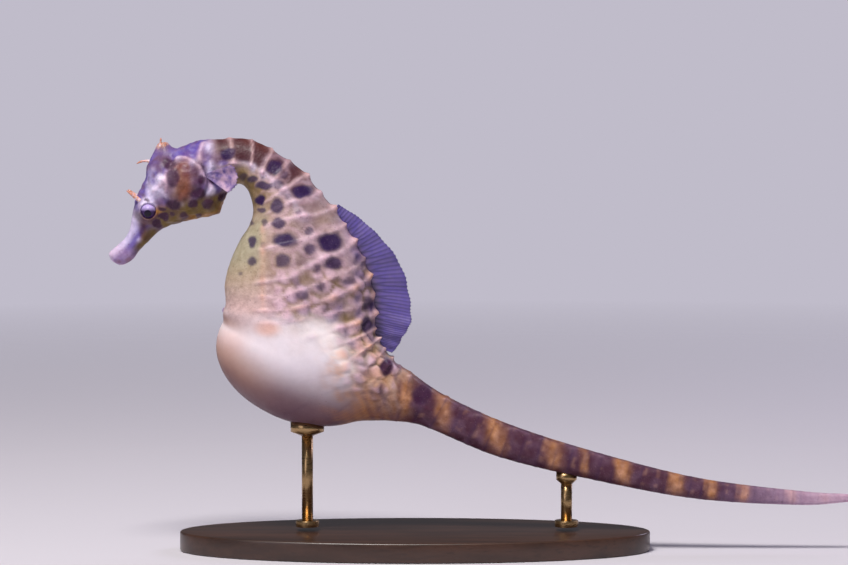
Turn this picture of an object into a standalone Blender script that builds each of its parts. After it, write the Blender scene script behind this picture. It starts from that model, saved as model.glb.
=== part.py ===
"""A life-size still model of an adult male pot-bellied seahorse, held by a plain display stand.

The animal is 193 mm from its lips to the tip of its trailing tail. Its plane of symmetry is
y = 0, its snout points to -X and its tail to +X, and its left side faces -Y. The underside of
the stand's base is z = 0. The body is lofted through a row of sections, each given by the
point where it meets the back and the point where it meets the belly.
"""

import math

import bmesh
import bpy
from mathutils import Matrix, Vector

MM = 0.001                 # the sizes below are in millimetres, the scene is in metres
GAP = 0.3                  # clearance left between two pieces that touch
SIDES = 20                 # corners of a section of the body
RINGS = 3                  # rings lofted between one landmark and the next

# The body's outline: the back's point (x, z), the belly's point (x, z) and the half width.
LANDMARKS = {
    "mouth slit": (-96.1, 73.3, -93.7, 71.8, 0.8),
    "lips": (-96.4, 74.6, -92.4, 72.0, 1.7),
    "lip flare": (-95.0, 76.2, -90.2, 73.5, 2.2),
    "snout waist": (-92.6, 78.3, -88.8, 75.5, 1.8),
    "snout middle": (-91.0, 81.0, -86.4, 77.9, 2.1),
    "snout root": (-90.3, 84.5, -83.8, 80.4, 2.9),
    "eyes": (-89.2, 88.8, -80.0, 82.1, 3.9),
    "forehead": (-87.2, 93.0, -76.2, 83.0, 5.2),
    "cheeks": (-86.0, 98.0, -72.5, 83.9, 6.3),
    "crown": (-80.0, 100.6, -69.0, 84.6, 6.5),
    "gills": (-73.8, 102.9, -67.9, 87.5, 5.2),
    "nape": (-68.8, 103.2, -66.0, 91.2, 4.3),
    "arch": (-63.0, 103.4, -63.8, 92.1, 4.2),
    "neck": (-58.2, 102.0, -62.0, 90.9, 4.6),
    "neck root": (-53.0, 98.8, -60.8, 88.2, 5.4),
    "shoulders": (-48.0, 95.1, -60.4, 85.0, 6.6),
    "breast": (-43.8, 89.8, -61.5, 81.5, 8.0),
    "chest": (-39.8, 85.2, -63.8, 77.8, 9.3),
    "upper trunk": (-35.8, 78.8, -66.0, 73.0, 10.4),
    "middle trunk": (-32.5, 72.5, -67.5, 67.2, 11.0),
    "lower trunk": (-30.5, 65.5, -67.2, 62.2, 11.0),
    "vent": (-30.0, 59.2, -66.6, 58.5, 10.6),
    "pouch head": (-30.0, 54.8, -58.2, 51.8, 10.0),
    "pouch middle": (-28.0, 51.2, -47.5, 44.0, 8.6),
    "pouch heel": (-25.2, 47.5, -36.8, 38.8, 7.0),
    "tail root": (-21.0, 44.8, -25.2, 33.5, 5.4),
    "tail neck": (-12.2, 38.9, -16.8, 31.0, 4.4),
    "first quarter": (4.0, 31.6, 1.2, 23.6, 3.9),
    "second quarter": (26.2, 24.5, 24.5, 17.9, 3.2),
    "third quarter": (51.2, 18.2, 50.2, 13.1, 2.4),
    "last quarter": (76.2, 15.0, 76.0, 11.5, 1.6),
    "tail end": (88.2, 14.2, 88.2, 12.2, 0.95),
    "tail tip": (96.6, 13.7, 96.6, 13.1, 0.35),
}
NAMES = list(LANDMARKS)
ROUND, SQUARE = 2.1, 3.2   # exponents of a section: a near ellipse, and a rounded box

# Where the flesh is divided, from the mouth slit to the tail tip: (node, the landmark where it ends).
LENGTHS = (
    ("mouth", "snout waist"),
    ("snout", "snout root"),
    ("head", "crown"),
    ("nape", "arch"),
    ("neck", "shoulders"),
    ("trunk_upper", "upper trunk"),
    ("trunk_middle", "lower trunk"),
    ("trunk_lower", "pouch middle"),
    ("tail_root", "tail neck"),
    ("tail_front", "first quarter"),
    ("tail_middle", "second quarter"),
    ("tail_rear", "third quarter"),
    ("tail_end", "tail tip"),
)

# The brood pouch: an egg that leans down to the rear, and the heel behind it.
POUCH_CENTRE, POUCH_RADII, POUCH_LEAN = (-46.9, 0.0, 48.4), (23.2, 13.6, 16.5), 15.9
HEEL_CENTRE, HEEL_RADII, HEEL_LEAN = (-31.5, 0.0, 37.6), (8.0, 6.4, 4.7), 8.0
POUCH_BACK_CLEARANCE = 9.0   # how far short of the back the pouch stops

EYE_CENTRE = (-86.3, 3.0, 85.5)
EYE_RADIUS = 2.1

CORONET_FOOT, CORONET_TOP = (-82.9, 0.0, 99.0), (-82.7, 0.0, 102.9)
CORONET_RADIUS = 3.0
CORONET_NARROWNESS = 0.75    # its width across the head as a share of its length
CORONET_PROFILE = ((0.0, 1.0), (0.5, 0.72), (1.0, 0.38))   # share of its height, share of its radius
CORONET_POINTS = 5
CORONET_POINT_RISE = 0.9
CORONET_HOLLOW = 1.2

# Spines and skin threads: root, tip, root radius, bow upwards.
EYE_SPINE = ((-87.6, 2.0, 87.0), (-91.7, 2.6, 90.5), 0.65, 0.2)
THREAD = ((-85.0, 0.0, 97.4), (-89.4, 0.0, 97.2), 0.5, 0.7)
TIP_RADIUS = 0.26

FIN_THICKNESS = 0.6
FIN_CLEARANCE = 0.45         # from the body to the root of a fin
DORSAL_FIN_REACH = 9.0
DORSAL_FIN_SPAN = ("chest", "pouch middle")
DORSAL_FIN_RISE = 55.0       # degrees that the first ray points up, and the last one down
DORSAL_FIN_FALL = 22.0
DORSAL_FIN_RIPPLE = 0.7
PECTORAL_ROOT = (-72.6, 6.4, 94.6)
PECTORAL_REACH = 8.8
PECTORAL_RISE, PECTORAL_FAN = 20.0, 55.0   # degrees: the top ray's rise, and the angle of the fan
PECTORAL_SWING = 0.32        # how far it swings outwards for each millimetre of reach
ANAL_FIN_REACH = 0.5
ANAL_FIN_START, ANAL_FIN_SPAN = 0.3, 0.5   # landmarks past the lower trunk, and how many it spans

BASE_LENGTH, BASE_DEPTH, BASE_THICKNESS, BASE_X = 118.0, 50.0, 6.0, -20.0
ROD_RADIUS = 1.4
BASE_BEVEL = 0.8
CUP_HEIGHT = 2.6
FRONT_ROD_X, FRONT_CUP_RADIUS = -47.0, 4.2
REAR_ROD_X, REAR_CUP_RADIUS = 18.0, 2.6

SKIN_CREAM = (0.62, 0.55, 0.42)
SKIN_BROWN = (0.24, 0.15, 0.11)
POUCH_CREAM = (0.78, 0.70, 0.55)
FIN_GREY = (0.42, 0.41, 0.47)
EYE_DARK = (0.03, 0.03, 0.05)
SPINE_ORANGE = (0.70, 0.40, 0.24)
STAND_BLACK = (0.025, 0.025, 0.028)
ROD_BRASS = (0.72, 0.55, 0.28)


def clear_scene():
    for old in list(bpy.data.objects):
        bpy.data.objects.remove(old, do_unlink=True)


def material(name, colour, roughness, metallic=0.0):
    """One Principled material, made once and shared by the pieces that use it."""
    found = bpy.data.materials.get(name)
    if found:
        return found
    made = bpy.data.materials.new(name)
    made.use_nodes = True
    shader = made.node_tree.nodes["Principled BSDF"]
    shader.inputs["Base Color"].default_value = (*colour, 1.0)
    shader.inputs["Roughness"].default_value = roughness
    shader.inputs["Metallic"].default_value = metallic
    return made


def mesh_object(name, mesh_data, finish):
    """Turn a bmesh, drawn in place in millimetres, into a smooth object in metres at its own middle."""
    bmesh.ops.recalc_face_normals(mesh_data, faces=mesh_data.faces)
    bmesh.ops.scale(mesh_data, vec=(MM, MM, MM), verts=mesh_data.verts)
    middle = sum((vertex.co for vertex in mesh_data.verts), Vector()) / len(mesh_data.verts)
    bmesh.ops.translate(mesh_data, vec=-middle, verts=mesh_data.verts)
    mesh = bpy.data.meshes.new(name)
    mesh_data.to_mesh(mesh)
    mesh_data.free()
    mesh.shade_smooth()
    mesh.set_sharp_from_angle(angle=math.radians(40))
    made = bpy.data.objects.new(name, mesh)
    made.location = middle
    bpy.context.scene.collection.objects.link(made)
    if finish:
        mesh.materials.append(finish)
    return made


def as_cutter(shape):
    shape.hide_render = True
    shape.display_type = "WIRE"
    return shape


def boolean(target, other, operation="DIFFERENCE"):
    """Cut a piece with a hidden shape, or join the shape to it."""
    modifier = target.modifiers.new("Cut" if operation == "DIFFERENCE" else "Join", "BOOLEAN")
    modifier.operation = operation
    modifier.solver = "EXACT"
    modifier.object = as_cutter(other)


def place_of(name):
    return float(NAMES.index(name))


def blend(values, place):
    """A smooth curve through one value for each landmark, read at a place along the body."""
    last = len(values) - 1
    low = min(int(place), last - 1)
    at = place - low
    before, start, end, after = (values[max(0, min(last, low + k))] for k in (-1, 0, 1, 2))
    return 0.5 * (2 * start + (end - before) * at
                  + (2 * before - 5 * start + 4 * end - after) * at ** 2
                  + (3 * start - before - 3 * end + after) * at ** 3)


def section(place):
    """Middle, unit direction to the back, half depth, half width and squareness of a section."""
    back_x, back_z, belly_x, belly_z, width = (
        blend([row[k] for row in LANDMARKS.values()], place) for k in range(5))
    back, belly = Vector((back_x, 0, back_z)), Vector((belly_x, 0, belly_z))
    to_back = (back - belly) / 2
    along_tail = (place - place_of("pouch middle")) / 4
    square = ROUND + (SQUARE - ROUND) * max(0.0, min(1.0, along_tail))
    return (back + belly) / 2, to_back.normalized(), to_back.length, max(width, 0.3), square


def heading(place):
    """The direction of the body at a section, square to it and towards the tail."""
    _, to_back, *_ = section(place)
    ahead = section(min(place + 0.05, len(NAMES) - 1))[0] - section(max(place - 0.05, 0))[0]
    across = to_back.cross(Vector((0, 1, 0)))
    return across if across.dot(ahead) > 0 else -across


def ring(place, grow=0.0, shift=0.0, hump=0.0):
    """The corners of one section, grown outwards, with a hump on the back, shifted along it."""
    middle, to_back, depth, width, square = section(place)
    centre = middle + heading(place) * shift
    corners = []
    for k in range(SIDES):
        angle = 2 * math.pi * (k + 0.5) / SIDES
        up, side = math.cos(angle), math.sin(angle)
        reach = grow + hump * max(0.0, up)
        up = math.copysign(abs(up) ** (2 / square), up) * (depth + reach)
        side = math.copysign(abs(side) ** (2 / square), side) * (width + reach)
        corners.append(centre + to_back * up + Vector((0, side, 0)))
    return corners


def loft(name, start, end, finish, grow=0.0, hump=0.0, trim_start=GAP / 2, trim_end=GAP / 2):
    """A closed length of the body between two places along it."""
    shape = bmesh.new()
    count = max(2, round((end - start) * RINGS) + 1)
    hoops = []
    for k in range(count):
        shift = trim_start if k == 0 else -trim_end if k == count - 1 else 0.0
        points = ring(start + (end - start) * k / (count - 1), grow, shift, hump)
        hoops.append([shape.verts.new(point) for point in points])
    for near, far in zip(hoops, hoops[1:]):
        for k in range(SIDES):
            shape.faces.new((near[k], near[k - 1], far[k - 1], far[k]))
    shape.faces.new(hoops[0])
    shape.faces.new(hoops[-1])
    return mesh_object(name, shape, finish)


def ellipsoid(name, centre, radii, lean=0.0, grow=0.0, finish=None, steps=28):
    """An egg whose long axis leans down to the rear by an angle in degrees."""
    shape = bmesh.new()
    bmesh.ops.create_uvsphere(shape, u_segments=steps, v_segments=steps // 2, radius=1.0)
    place = (Matrix.Translation(Vector(centre)) @ Matrix.Rotation(math.radians(lean), 4, "Y")
             @ Matrix.Diagonal((*(radius + grow for radius in radii), 1)))
    bmesh.ops.transform(shape, matrix=place, verts=shape.verts)
    return mesh_object(name, shape, finish)


def sheet(name, point, rows, columns, thickness, finish):
    """A thin closed fin: point(u, v) gives its middle surface, and Y its thickness."""
    shape = bmesh.new()
    faces = []
    for side in (-1, 1):
        offset = Vector((0, side * thickness / 2, 0))
        faces.append([[shape.verts.new(point(i / rows, j / columns) + offset)
                       for j in range(columns + 1)] for i in range(rows + 1)])
    for grid in faces:
        for i in range(rows):
            for j in range(columns):
                shape.faces.new((grid[i][j], grid[i + 1][j], grid[i + 1][j + 1], grid[i][j + 1]))
    rim = [(i, 0) for i in range(rows)] + [(rows, j) for j in range(columns)]
    rim += [(i, columns) for i in range(rows, 0, -1)] + [(0, j) for j in range(columns, 0, -1)]
    for (i, j), (m, n) in zip(rim, rim[1:] + rim[:1]):
        shape.faces.new((faces[0][i][j], faces[0][m][n], faces[1][m][n], faces[1][i][j]))
    return mesh_object(name, shape, finish)


def thread(name, root, tip, radius, bow, finish, side=1, turns=7, steps=5):
    """A tapering spine or thread of skin that bows upwards on its way out."""
    shape = bmesh.new()
    root, tip = Vector(root), Vector(tip)
    root.y, tip.y = root.y * side, tip.y * side
    aim = (tip - root).normalized()
    flat = aim.cross(Vector((0, 1, 0))).normalized()
    level = aim.cross(flat)
    hoops = []
    for k in range(steps + 1):
        at = k / steps
        centre = root.lerp(tip, at) + Vector((0, 0, bow * 4 * at * (1 - at)))
        reach = radius + (TIP_RADIUS - radius) * at
        hoops.append([shape.verts.new(centre + (flat * math.cos(turn) + level * math.sin(turn)) * reach)
                      for turn in (2 * math.pi * j / turns for j in range(turns))])
    for near, far in zip(hoops, hoops[1:]):
        for j in range(turns):
            shape.faces.new((near[j], near[j - 1], far[j - 1], far[j]))
    shape.faces.new(hoops[0])
    shape.faces.new(hoops[-1])
    return mesh_object(name, shape, finish)


def grown_flesh(name, first, last, hump=0.0):
    """The body between two landmarks with the clearance round it, to cut its neighbours by."""
    return loft(name, place_of(first), place_of(last), None, GAP, hump, trim_start=0, trim_end=0)


def make_flesh():
    """The lengths of the body, from the mouth slit to the tail tip."""
    cream = material("seahorse_skin", SKIN_CREAM, 0.45)
    brown = material("seahorse_tail_skin", SKIN_BROWN, 0.5)
    made = {}
    start = place_of("mouth slit")
    for name, ends_at in LENGTHS:
        end = place_of(ends_at)
        made[name] = loft(name, start, end, brown if name.startswith("tail") else cream)
        start = end
    return made


def make_eyes(head, snout):
    dark = material("eye", EYE_DARK, 0.08)
    for side, label in ((-1, "left"), (1, "right")):
        centre = (EYE_CENTRE[0], EYE_CENTRE[1] * side, EYE_CENTRE[2])
        ball = (EYE_RADIUS,) * 3
        ellipsoid("eye_" + label, centre, ball, finish=dark, steps=20)
        for flesh, owner in ((head, "head"), (snout, "snout")):
            socket = ellipsoid(f"{owner}_socket_{label}", centre, ball, grow=GAP, steps=20)
            boolean(flesh, socket)


def make_coronet():
    """A low crown of skin and bone with a ring of blunt points, seated on the head."""
    shape = bmesh.new()
    foot, top = Vector(CORONET_FOOT), Vector(CORONET_TOP)
    count = 2 * CORONET_POINTS
    hoops = []
    for level, spread in CORONET_PROFILE:
        hoop = []
        for k in range(count):
            turn = math.pi + 2 * math.pi * k / count
            lift = CORONET_POINT_RISE * (-1) ** k if level == 1.0 else 0.0
            out = CORONET_RADIUS * spread
            corner = Vector((out * math.cos(turn), CORONET_NARROWNESS * out * math.sin(turn), lift))
            hoop.append(shape.verts.new(foot.lerp(top, level) + corner))
        hoops.append(hoop)
    for near, far in zip(hoops, hoops[1:]):
        for k in range(count):
            shape.faces.new((near[k], near[k - 1], far[k - 1], far[k]))
    shape.faces.new(hoops[0])
    hub = shape.verts.new(top - Vector((0, 0, CORONET_HOLLOW)))
    for k in range(count):
        shape.faces.new((hoops[-1][k], hoops[-1][k - 1], hub))
    crown = mesh_object("coronet", shape, material("seahorse_skin", SKIN_CREAM, 0.45))
    boolean(crown, grown_flesh("coronet_seat", "eyes", "gills"))


def make_spines():
    orange = material("skin_thread", SPINE_ORANGE, 0.5)
    for side, label in ((-1, "left"), (1, "right")):
        spine = thread("eye_spine_" + label, *EYE_SPINE, orange, side)
        boolean(spine, grown_flesh("eye_spine_seat_" + label, "snout middle", "cheeks"))
        centre = (EYE_CENTRE[0], EYE_CENTRE[1] * side, EYE_CENTRE[2])
        boolean(spine, ellipsoid("eye_spine_room_" + label, centre, (EYE_RADIUS,) * 3, grow=GAP))
    brow_thread = thread("forehead_thread", *THREAD, orange)
    boolean(brow_thread, grown_flesh("thread_seat", "eyes", "gills"))


def make_pouch():
    """The egg and its heel, hollowed by the trunk and tail that they wrap."""
    cream = material("brood_pouch_skin", POUCH_CREAM, 0.35)
    pouch = ellipsoid("brood_pouch", POUCH_CENTRE, POUCH_RADII, POUCH_LEAN, finish=cream, steps=36)
    boolean(pouch, ellipsoid("pouch_heel", HEEL_CENTRE, HEEL_RADII, HEEL_LEAN, steps=20), "UNION")
    boolean(pouch, grown_flesh("pouch_room", "middle trunk", "first quarter", POUCH_BACK_CLEARANCE))


def dorsal_fin_point(u, v):
    """u runs down the back and v out from it. The rays fan up, level and down, and ripple."""
    first, last = (place_of(name) for name in DORSAL_FIN_SPAN)
    middle, to_back, depth, *_ = section(first + (last - first) * u)
    root = middle + to_back * (depth + FIN_CLEARANCE)
    lean = math.radians(DORSAL_FIN_RISE * (1 - u) ** 2.2 - DORSAL_FIN_FALL * u)
    ray = Vector((math.cos(lean), 0, math.sin(lean)))
    reach = DORSAL_FIN_REACH * math.sin(math.pi * (0.03 + 0.92 * u ** 1.2)) ** 0.8
    ripple = DORSAL_FIN_RIPPLE * v * math.sin(5 * math.pi * u)
    return root + ray * (reach * v) + Vector((0, ripple, 0))


def pectoral_fin_point(side):
    """A fan behind the gill cover, spread downwards and swung a little out from the neck."""
    def point(u, v):
        turn = math.radians(PECTORAL_RISE - PECTORAL_FAN * u)
        reach = 1.0 + (PECTORAL_REACH - 1.0) * v * (0.86 + 0.14 * math.sin(math.pi * u))
        out = PECTORAL_ROOT[1] + PECTORAL_SWING * reach * v
        return Vector((PECTORAL_ROOT[0] + reach * math.cos(turn), side * out,
                       PECTORAL_ROOT[2] + reach * math.sin(turn)))
    return point


def anal_fin_point(u, v):
    """A tiny fan in the notch between the belly and the pouch."""
    place = place_of("lower trunk") + ANAL_FIN_START + ANAL_FIN_SPAN * u
    middle, to_back, depth, *_ = section(place)
    root = middle - to_back * (depth + FIN_CLEARANCE)
    return root + Vector((-1.0, 0, 0.1)) * (ANAL_FIN_REACH * v * (0.7 + 0.3 * math.sin(math.pi * u)))


def make_fins():
    grey = material("fin_membrane", FIN_GREY, 0.3)
    sheet("dorsal_fin", dorsal_fin_point, 24, 3, FIN_THICKNESS, grey)
    for side, label in ((-1, "left"), (1, "right")):
        sheet("pectoral_fin_" + label, pectoral_fin_point(side), 8, 3, FIN_THICKNESS, grey)
    sheet("anal_fin", anal_fin_point, 4, 2, FIN_THICKNESS, grey)


def cylinder(name, x, bottom, top, radius, finish, steps=20):
    shape = bmesh.new()
    bmesh.ops.create_cone(shape, cap_ends=True, segments=steps, radius1=radius, radius2=radius,
                          depth=top - bottom)
    bmesh.ops.translate(shape, vec=(x, 0, (bottom + top) / 2), verts=shape.verts)
    return mesh_object(name, shape, finish)


def make_base():
    """A flat oval plinth with its edges eased."""
    shape = bmesh.new()
    bmesh.ops.create_cone(shape, cap_ends=True, segments=48, radius1=0.5, radius2=0.5,
                          depth=BASE_THICKNESS)
    bmesh.ops.scale(shape, vec=(BASE_LENGTH, BASE_DEPTH, 1), verts=shape.verts)
    bmesh.ops.translate(shape, vec=(BASE_X, 0, BASE_THICKNESS / 2), verts=shape.verts)
    rims = [edge for edge in shape.edges if abs(edge.verts[0].co.z - edge.verts[1].co.z) < 0.01]
    bmesh.ops.bevel(shape, geom=rims, offset=BASE_BEVEL, segments=2, affect="EDGES")
    mesh_object("stand_base", shape, material("stand_base", STAND_BLACK, 0.35))


def lowest_of(radii, centre, lean, x):
    """The height of an egg's underside at a place along it."""
    tilt = -math.radians(lean)
    long, tall = radii[0], radii[2]
    along = x - centre[0]
    a = (math.sin(tilt) / long) ** 2 + (math.cos(tilt) / tall) ** 2
    b = 2 * along * math.sin(tilt) * math.cos(tilt) * (1 / long ** 2 - 1 / tall ** 2)
    c = along ** 2 * ((math.cos(tilt) / long) ** 2 + (math.sin(tilt) / tall) ** 2) - 1
    return centre[2] + (-b - math.sqrt(b * b - 4 * a * c)) / (2 * a)


def tail_underside(x):
    """The height of the tail's underside at a place along it."""
    place = place_of("tail root")
    while section(place)[0].x < x:
        place += 0.01
    middle, to_back, depth, *_ = section(place)
    return (middle - to_back * depth).z


def make_support(label, x, underside, reach, room):
    """A rod on the base and the cup at its top, with the body's room cut out of the cup."""
    brass = material("stand_rod", ROD_BRASS, 0.3, 1.0)
    cup_foot = underside - GAP - CUP_HEIGHT / 2
    cylinder("stand_rod_" + label, x, BASE_THICKNESS + GAP, cup_foot - GAP, ROD_RADIUS, brass)
    cup = cylinder("stand_cup_" + label, x, cup_foot, cup_foot + CUP_HEIGHT, reach, brass)
    boolean(cup, room)


def make_supports():
    """Two short rods, one under the pouch and one under the tail."""
    pouch_foot = lowest_of(POUCH_RADII, POUCH_CENTRE, POUCH_LEAN, FRONT_ROD_X)
    pouch_room = ellipsoid("cup_room_front", POUCH_CENTRE, POUCH_RADII, POUCH_LEAN, grow=GAP, steps=36)
    make_support("front", FRONT_ROD_X, pouch_foot, FRONT_CUP_RADIUS, pouch_room)
    tail_foot = tail_underside(REAR_ROD_X)
    tail_room = grown_flesh("cup_room_rear", "tail neck", "third quarter")
    make_support("rear", REAR_ROD_X, tail_foot, REAR_CUP_RADIUS, tail_room)


def main():
    clear_scene()
    flesh = make_flesh()
    make_eyes(flesh["head"], flesh["snout"])
    make_coronet()
    make_spines()
    make_pouch()
    make_fins()
    make_base()
    make_supports()


main()
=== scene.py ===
"""The looks of a life-size still model of an adult male pot-bellied seahorse on its stand.

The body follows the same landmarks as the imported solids, and the stand takes its sizes from
them. One skin stands for all the lengths of the body, and the eyes, threads, fins and stand are
separate pieces. The file is laid out as an add-on and is run as a script.
"""

import math

import bmesh
import bpy
import numpy as np
from bpy.props import FloatProperty, FloatVectorProperty, IntProperty, PointerProperty
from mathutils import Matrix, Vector, noise


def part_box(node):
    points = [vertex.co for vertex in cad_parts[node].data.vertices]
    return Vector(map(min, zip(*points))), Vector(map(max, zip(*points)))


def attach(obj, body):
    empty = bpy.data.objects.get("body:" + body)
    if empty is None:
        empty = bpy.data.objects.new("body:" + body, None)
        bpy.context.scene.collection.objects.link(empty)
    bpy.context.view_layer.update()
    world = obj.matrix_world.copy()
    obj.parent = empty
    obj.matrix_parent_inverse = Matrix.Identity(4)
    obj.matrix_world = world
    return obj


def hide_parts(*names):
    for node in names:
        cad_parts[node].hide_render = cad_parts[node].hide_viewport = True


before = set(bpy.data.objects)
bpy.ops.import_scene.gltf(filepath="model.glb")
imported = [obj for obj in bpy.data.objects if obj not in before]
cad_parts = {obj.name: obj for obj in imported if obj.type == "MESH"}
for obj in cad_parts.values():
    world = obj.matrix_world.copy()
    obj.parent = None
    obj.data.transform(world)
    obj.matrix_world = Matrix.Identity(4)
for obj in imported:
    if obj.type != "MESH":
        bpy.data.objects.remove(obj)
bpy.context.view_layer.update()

bl_info = {
    "name": "Seahorse on a display stand",
    "version": (1, 0, 0),
    "blender": (4, 5, 0),
    "location": "View3D > Sidebar > Seahorse",
    "description": "Builds the skin, eyes, fins, threads, stand and stage of a seahorse model",
    "category": "Object",
}

MM = 0.001                       # lengths below are in millimetres, the scene is in metres
ROD_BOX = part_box("stand_rod_front")

# The same landmarks as the solids: back (x, z), belly (x, z) and half width.
LANDMARKS = {
    "mouth slit": (-96.1, 73.3, -93.7, 71.8, 0.8),
    "lips": (-96.4, 74.6, -92.4, 72.0, 1.7),
    "lip flare": (-95.0, 76.2, -90.2, 73.5, 2.2),
    "snout waist": (-92.6, 78.3, -88.8, 75.5, 1.8),
    "snout middle": (-91.0, 81.0, -86.4, 77.9, 2.1),
    "snout root": (-90.3, 84.5, -83.8, 80.4, 2.9),
    "eyes": (-89.2, 88.8, -80.0, 82.1, 3.9),
    "forehead": (-87.2, 93.0, -76.2, 83.0, 5.2),
    "cheeks": (-86.0, 98.0, -72.5, 83.9, 6.3),
    "crown": (-80.0, 100.6, -69.0, 84.6, 6.5),
    "gills": (-73.8, 102.9, -67.9, 87.5, 5.2),
    "nape": (-68.8, 103.2, -66.0, 91.2, 4.3),
    "arch": (-63.0, 103.4, -63.8, 92.1, 4.2),
    "neck": (-58.2, 102.0, -62.0, 90.9, 4.6),
    "neck root": (-53.0, 98.8, -60.8, 88.2, 5.4),
    "shoulders": (-48.0, 95.1, -60.4, 85.0, 6.6),
    "breast": (-43.8, 89.8, -61.5, 81.5, 8.0),
    "chest": (-39.8, 85.2, -63.8, 77.8, 9.3),
    "upper trunk": (-35.8, 78.8, -66.0, 73.0, 10.4),
    "middle trunk": (-32.5, 72.5, -67.5, 67.2, 11.0),
    "lower trunk": (-30.5, 65.5, -67.2, 62.2, 11.0),
    "vent": (-30.0, 59.2, -66.6, 58.5, 10.6),
    "pouch head": (-30.0, 54.8, -58.2, 51.8, 10.0),
    "pouch middle": (-28.0, 51.2, -47.5, 44.0, 8.6),
    "pouch heel": (-25.2, 47.5, -36.8, 38.8, 7.0),
    "tail root": (-21.0, 44.8, -25.2, 33.5, 5.4),
    "tail neck": (-12.2, 38.9, -16.8, 31.0, 4.4),
    "first quarter": (4.0, 31.6, 1.2, 23.6, 3.9),
    "second quarter": (26.2, 24.5, 24.5, 17.9, 3.2),
    "third quarter": (51.2, 18.2, 50.2, 13.1, 2.4),
    "last quarter": (76.2, 15.0, 76.0, 11.5, 1.6),
    "tail end": (88.2, 14.2, 88.2, 12.2, 0.95),
    "tail tip": (96.6, 13.7, 96.6, 13.1, 0.35),
}
NAMES = list(LANDMARKS)
TABLE = np.array(list(LANDMARKS.values()))
FLESH = ("mouth", "snout", "head", "coronet", "nape", "neck", "trunk_upper", "trunk_middle",
         "trunk_lower", "brood_pouch", "tail_root", "tail_front", "tail_middle", "tail_rear", "tail_end")
ROUND, SQUARE = 2.1, 3.2         # exponents of a section: a near ellipse, and a rounded box

COLUMNS = 150                    # points round a section of the skin
CLOUD_WIDTHS = (1.6, 3.0, 5.5, 9.0)   # of the blotches that break up the colours
ROW_STEPS = ((0, 0.30), (4.6, 0.20), (7.2, 0.26), (10, 0.36), (25, 0.46), (31, 0.5))   # place, mm

# The pouch is two eggs that melt together. Each leans down to the rear, by so many degrees.
POUCH = dict(centre=(-46.9, 0.0, 48.4), radii=(23.2, 13.6, 16.5), lean=15.9)
HEEL = dict(centre=(-31.5, 0.0, 37.6), radii=(8.0, 6.4, 4.7), lean=8.0)
POUCH_BACK_CLEARANCE = 9.0       # mm by which the pouch is kept from bulging out of the back
CREASE, FILLET = 2.4, 7.0        # mm over which the pouch meets the body, below and at the flank
EGG_FILLET = 1.6                 # mm over which the pouch meets its heel

# Rings of armour: their spacing along the back, and the one that lies at a known place.
RING_SPACING = ((11, 16.2, 17, 19.3, 21.3), (5.4, 5.7, 4.5, 4.6, 4.6))
KNOWN_PLACE, KNOWN_RING = 16.92, 6
VENT, TAIL_RINGS = 21.3, 46
TAIL_RING_LENGTHS = (4.6, 3.4)   # the first ring's length, and how much shorter the last one is
FINE_STEPS = 6000                # places at which the body is measured
# How many rings further down the body a ring's edge lies at the flank than at the back.
RING_SAG = ((11, 12.4, 13.6, 15, 16.4, 17.7, 19, 20.5, 23, 25.5),
            (0, 0.45, 0.3, -0.2, -0.6, 0.3, 1.5, 1.6, 1.0, 0))
RING_WANDER = 0.09               # share of a ring by which its edge strays
RING_EDGE = 0.075                # half width of a ring's edge, as a share of the ring
PEBBLE = 3.4                     # width of one of the crowded knobs on the rear flank
# The ridge along the flank: degrees from the back at places along the body.
FLANK_RIDGE = ((12, 14, 16, 18, 20, 23), (93, 84, 70, 62, 64, 60))

# Rows that turn in at the lips: their share of the lips' width, and how deep they lie.
MOUTH_ROWS = ((0.30, 1.5), (0.42, 1.2), (0.55, 0.5), (0.72, 0.02), (0.88, -0.12))
EYE = (-86.3, 3.0, 85.5)         # the middle of the right eyeball
EYE_RADIUS = 2.1
CORNEA_RISE, CORNEA_REACH = 0.14, 1.25   # how far it bulges, and how wide round its middle
PUPIL_SHIFT = (0.1, 0.55)        # how far the pupil lies before the eye's middle, and below it
SIDES = ((-1, "left"), (1, "right"))
TURRET_FOOT, TURRET_RIM, TURRET_TALL = 3.8, 2.1, 1.25   # radii, and how far out the rim stands
GILL_COVER = (-77.0, 91.6, 4.9, 6.2, -24)   # x, z, half length, half height, turn in degrees
CORONET, CORONET_SLOPE = (-82.7, 99.2), 22
CORONET_LENGTH, CORONET_WIDTH, CORONET_TALL = 2.9, 2.1, 2.7   # the first two are halves

# Small knobs of the head: x, z, radius, height. Their tips get a painted highlight in white.
HEAD_KNOBS = (
    (-86.6, 87.6, 1.3, 0.55), (-84.4, 90.6, 1.5, 0.55), (-83.2, 93.5, 1.0, 0.6), (-85.2, 95.6, 0.8, 0.3),
    (-70.6, 96.6, 1.1, 0.55), (-70.8, 90.6, 1.0, 0.6), (-71.2, 101.2, 1.2, 0.5), (-78.6, 98.5, 0.8, 0.35),
    (-75.0, 97.6, 0.8, 0.4), (-88.6, 84.2, 0.8, 0.3), (-81.8, 89.4, 0.8, 0.3), (-88.8, 78.0, 0.7, 0.35),
    (-79.8, 100.4, 0.7, 0.3), (-67.6, 96.4, 0.9, 0.4), (-77.6, 87.4, 0.7, 0.25),
)

# Raised lines of the head: three points (x, z) that each passes through, height, half width.
HEAD_ARCS = {
    "arch": ((-80.4, 96.6), (-77.6, 98.7), (-73.4, 96.4), 0.75, 0.6),
    "brow": ((-84.6, 90.6), (-81.9, 93.4), (-80.4, 97.0), 0.45, 0.55),
    "collar": ((-71.6, 103.4), (-73.4, 98.6), (-71.0, 91.6), 0.7, 0.7),
    "jaw": ((-85.4, 81.6), (-80.4, 83.6), (-73.4, 85.6), 0.35, 0.55),
}
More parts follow.
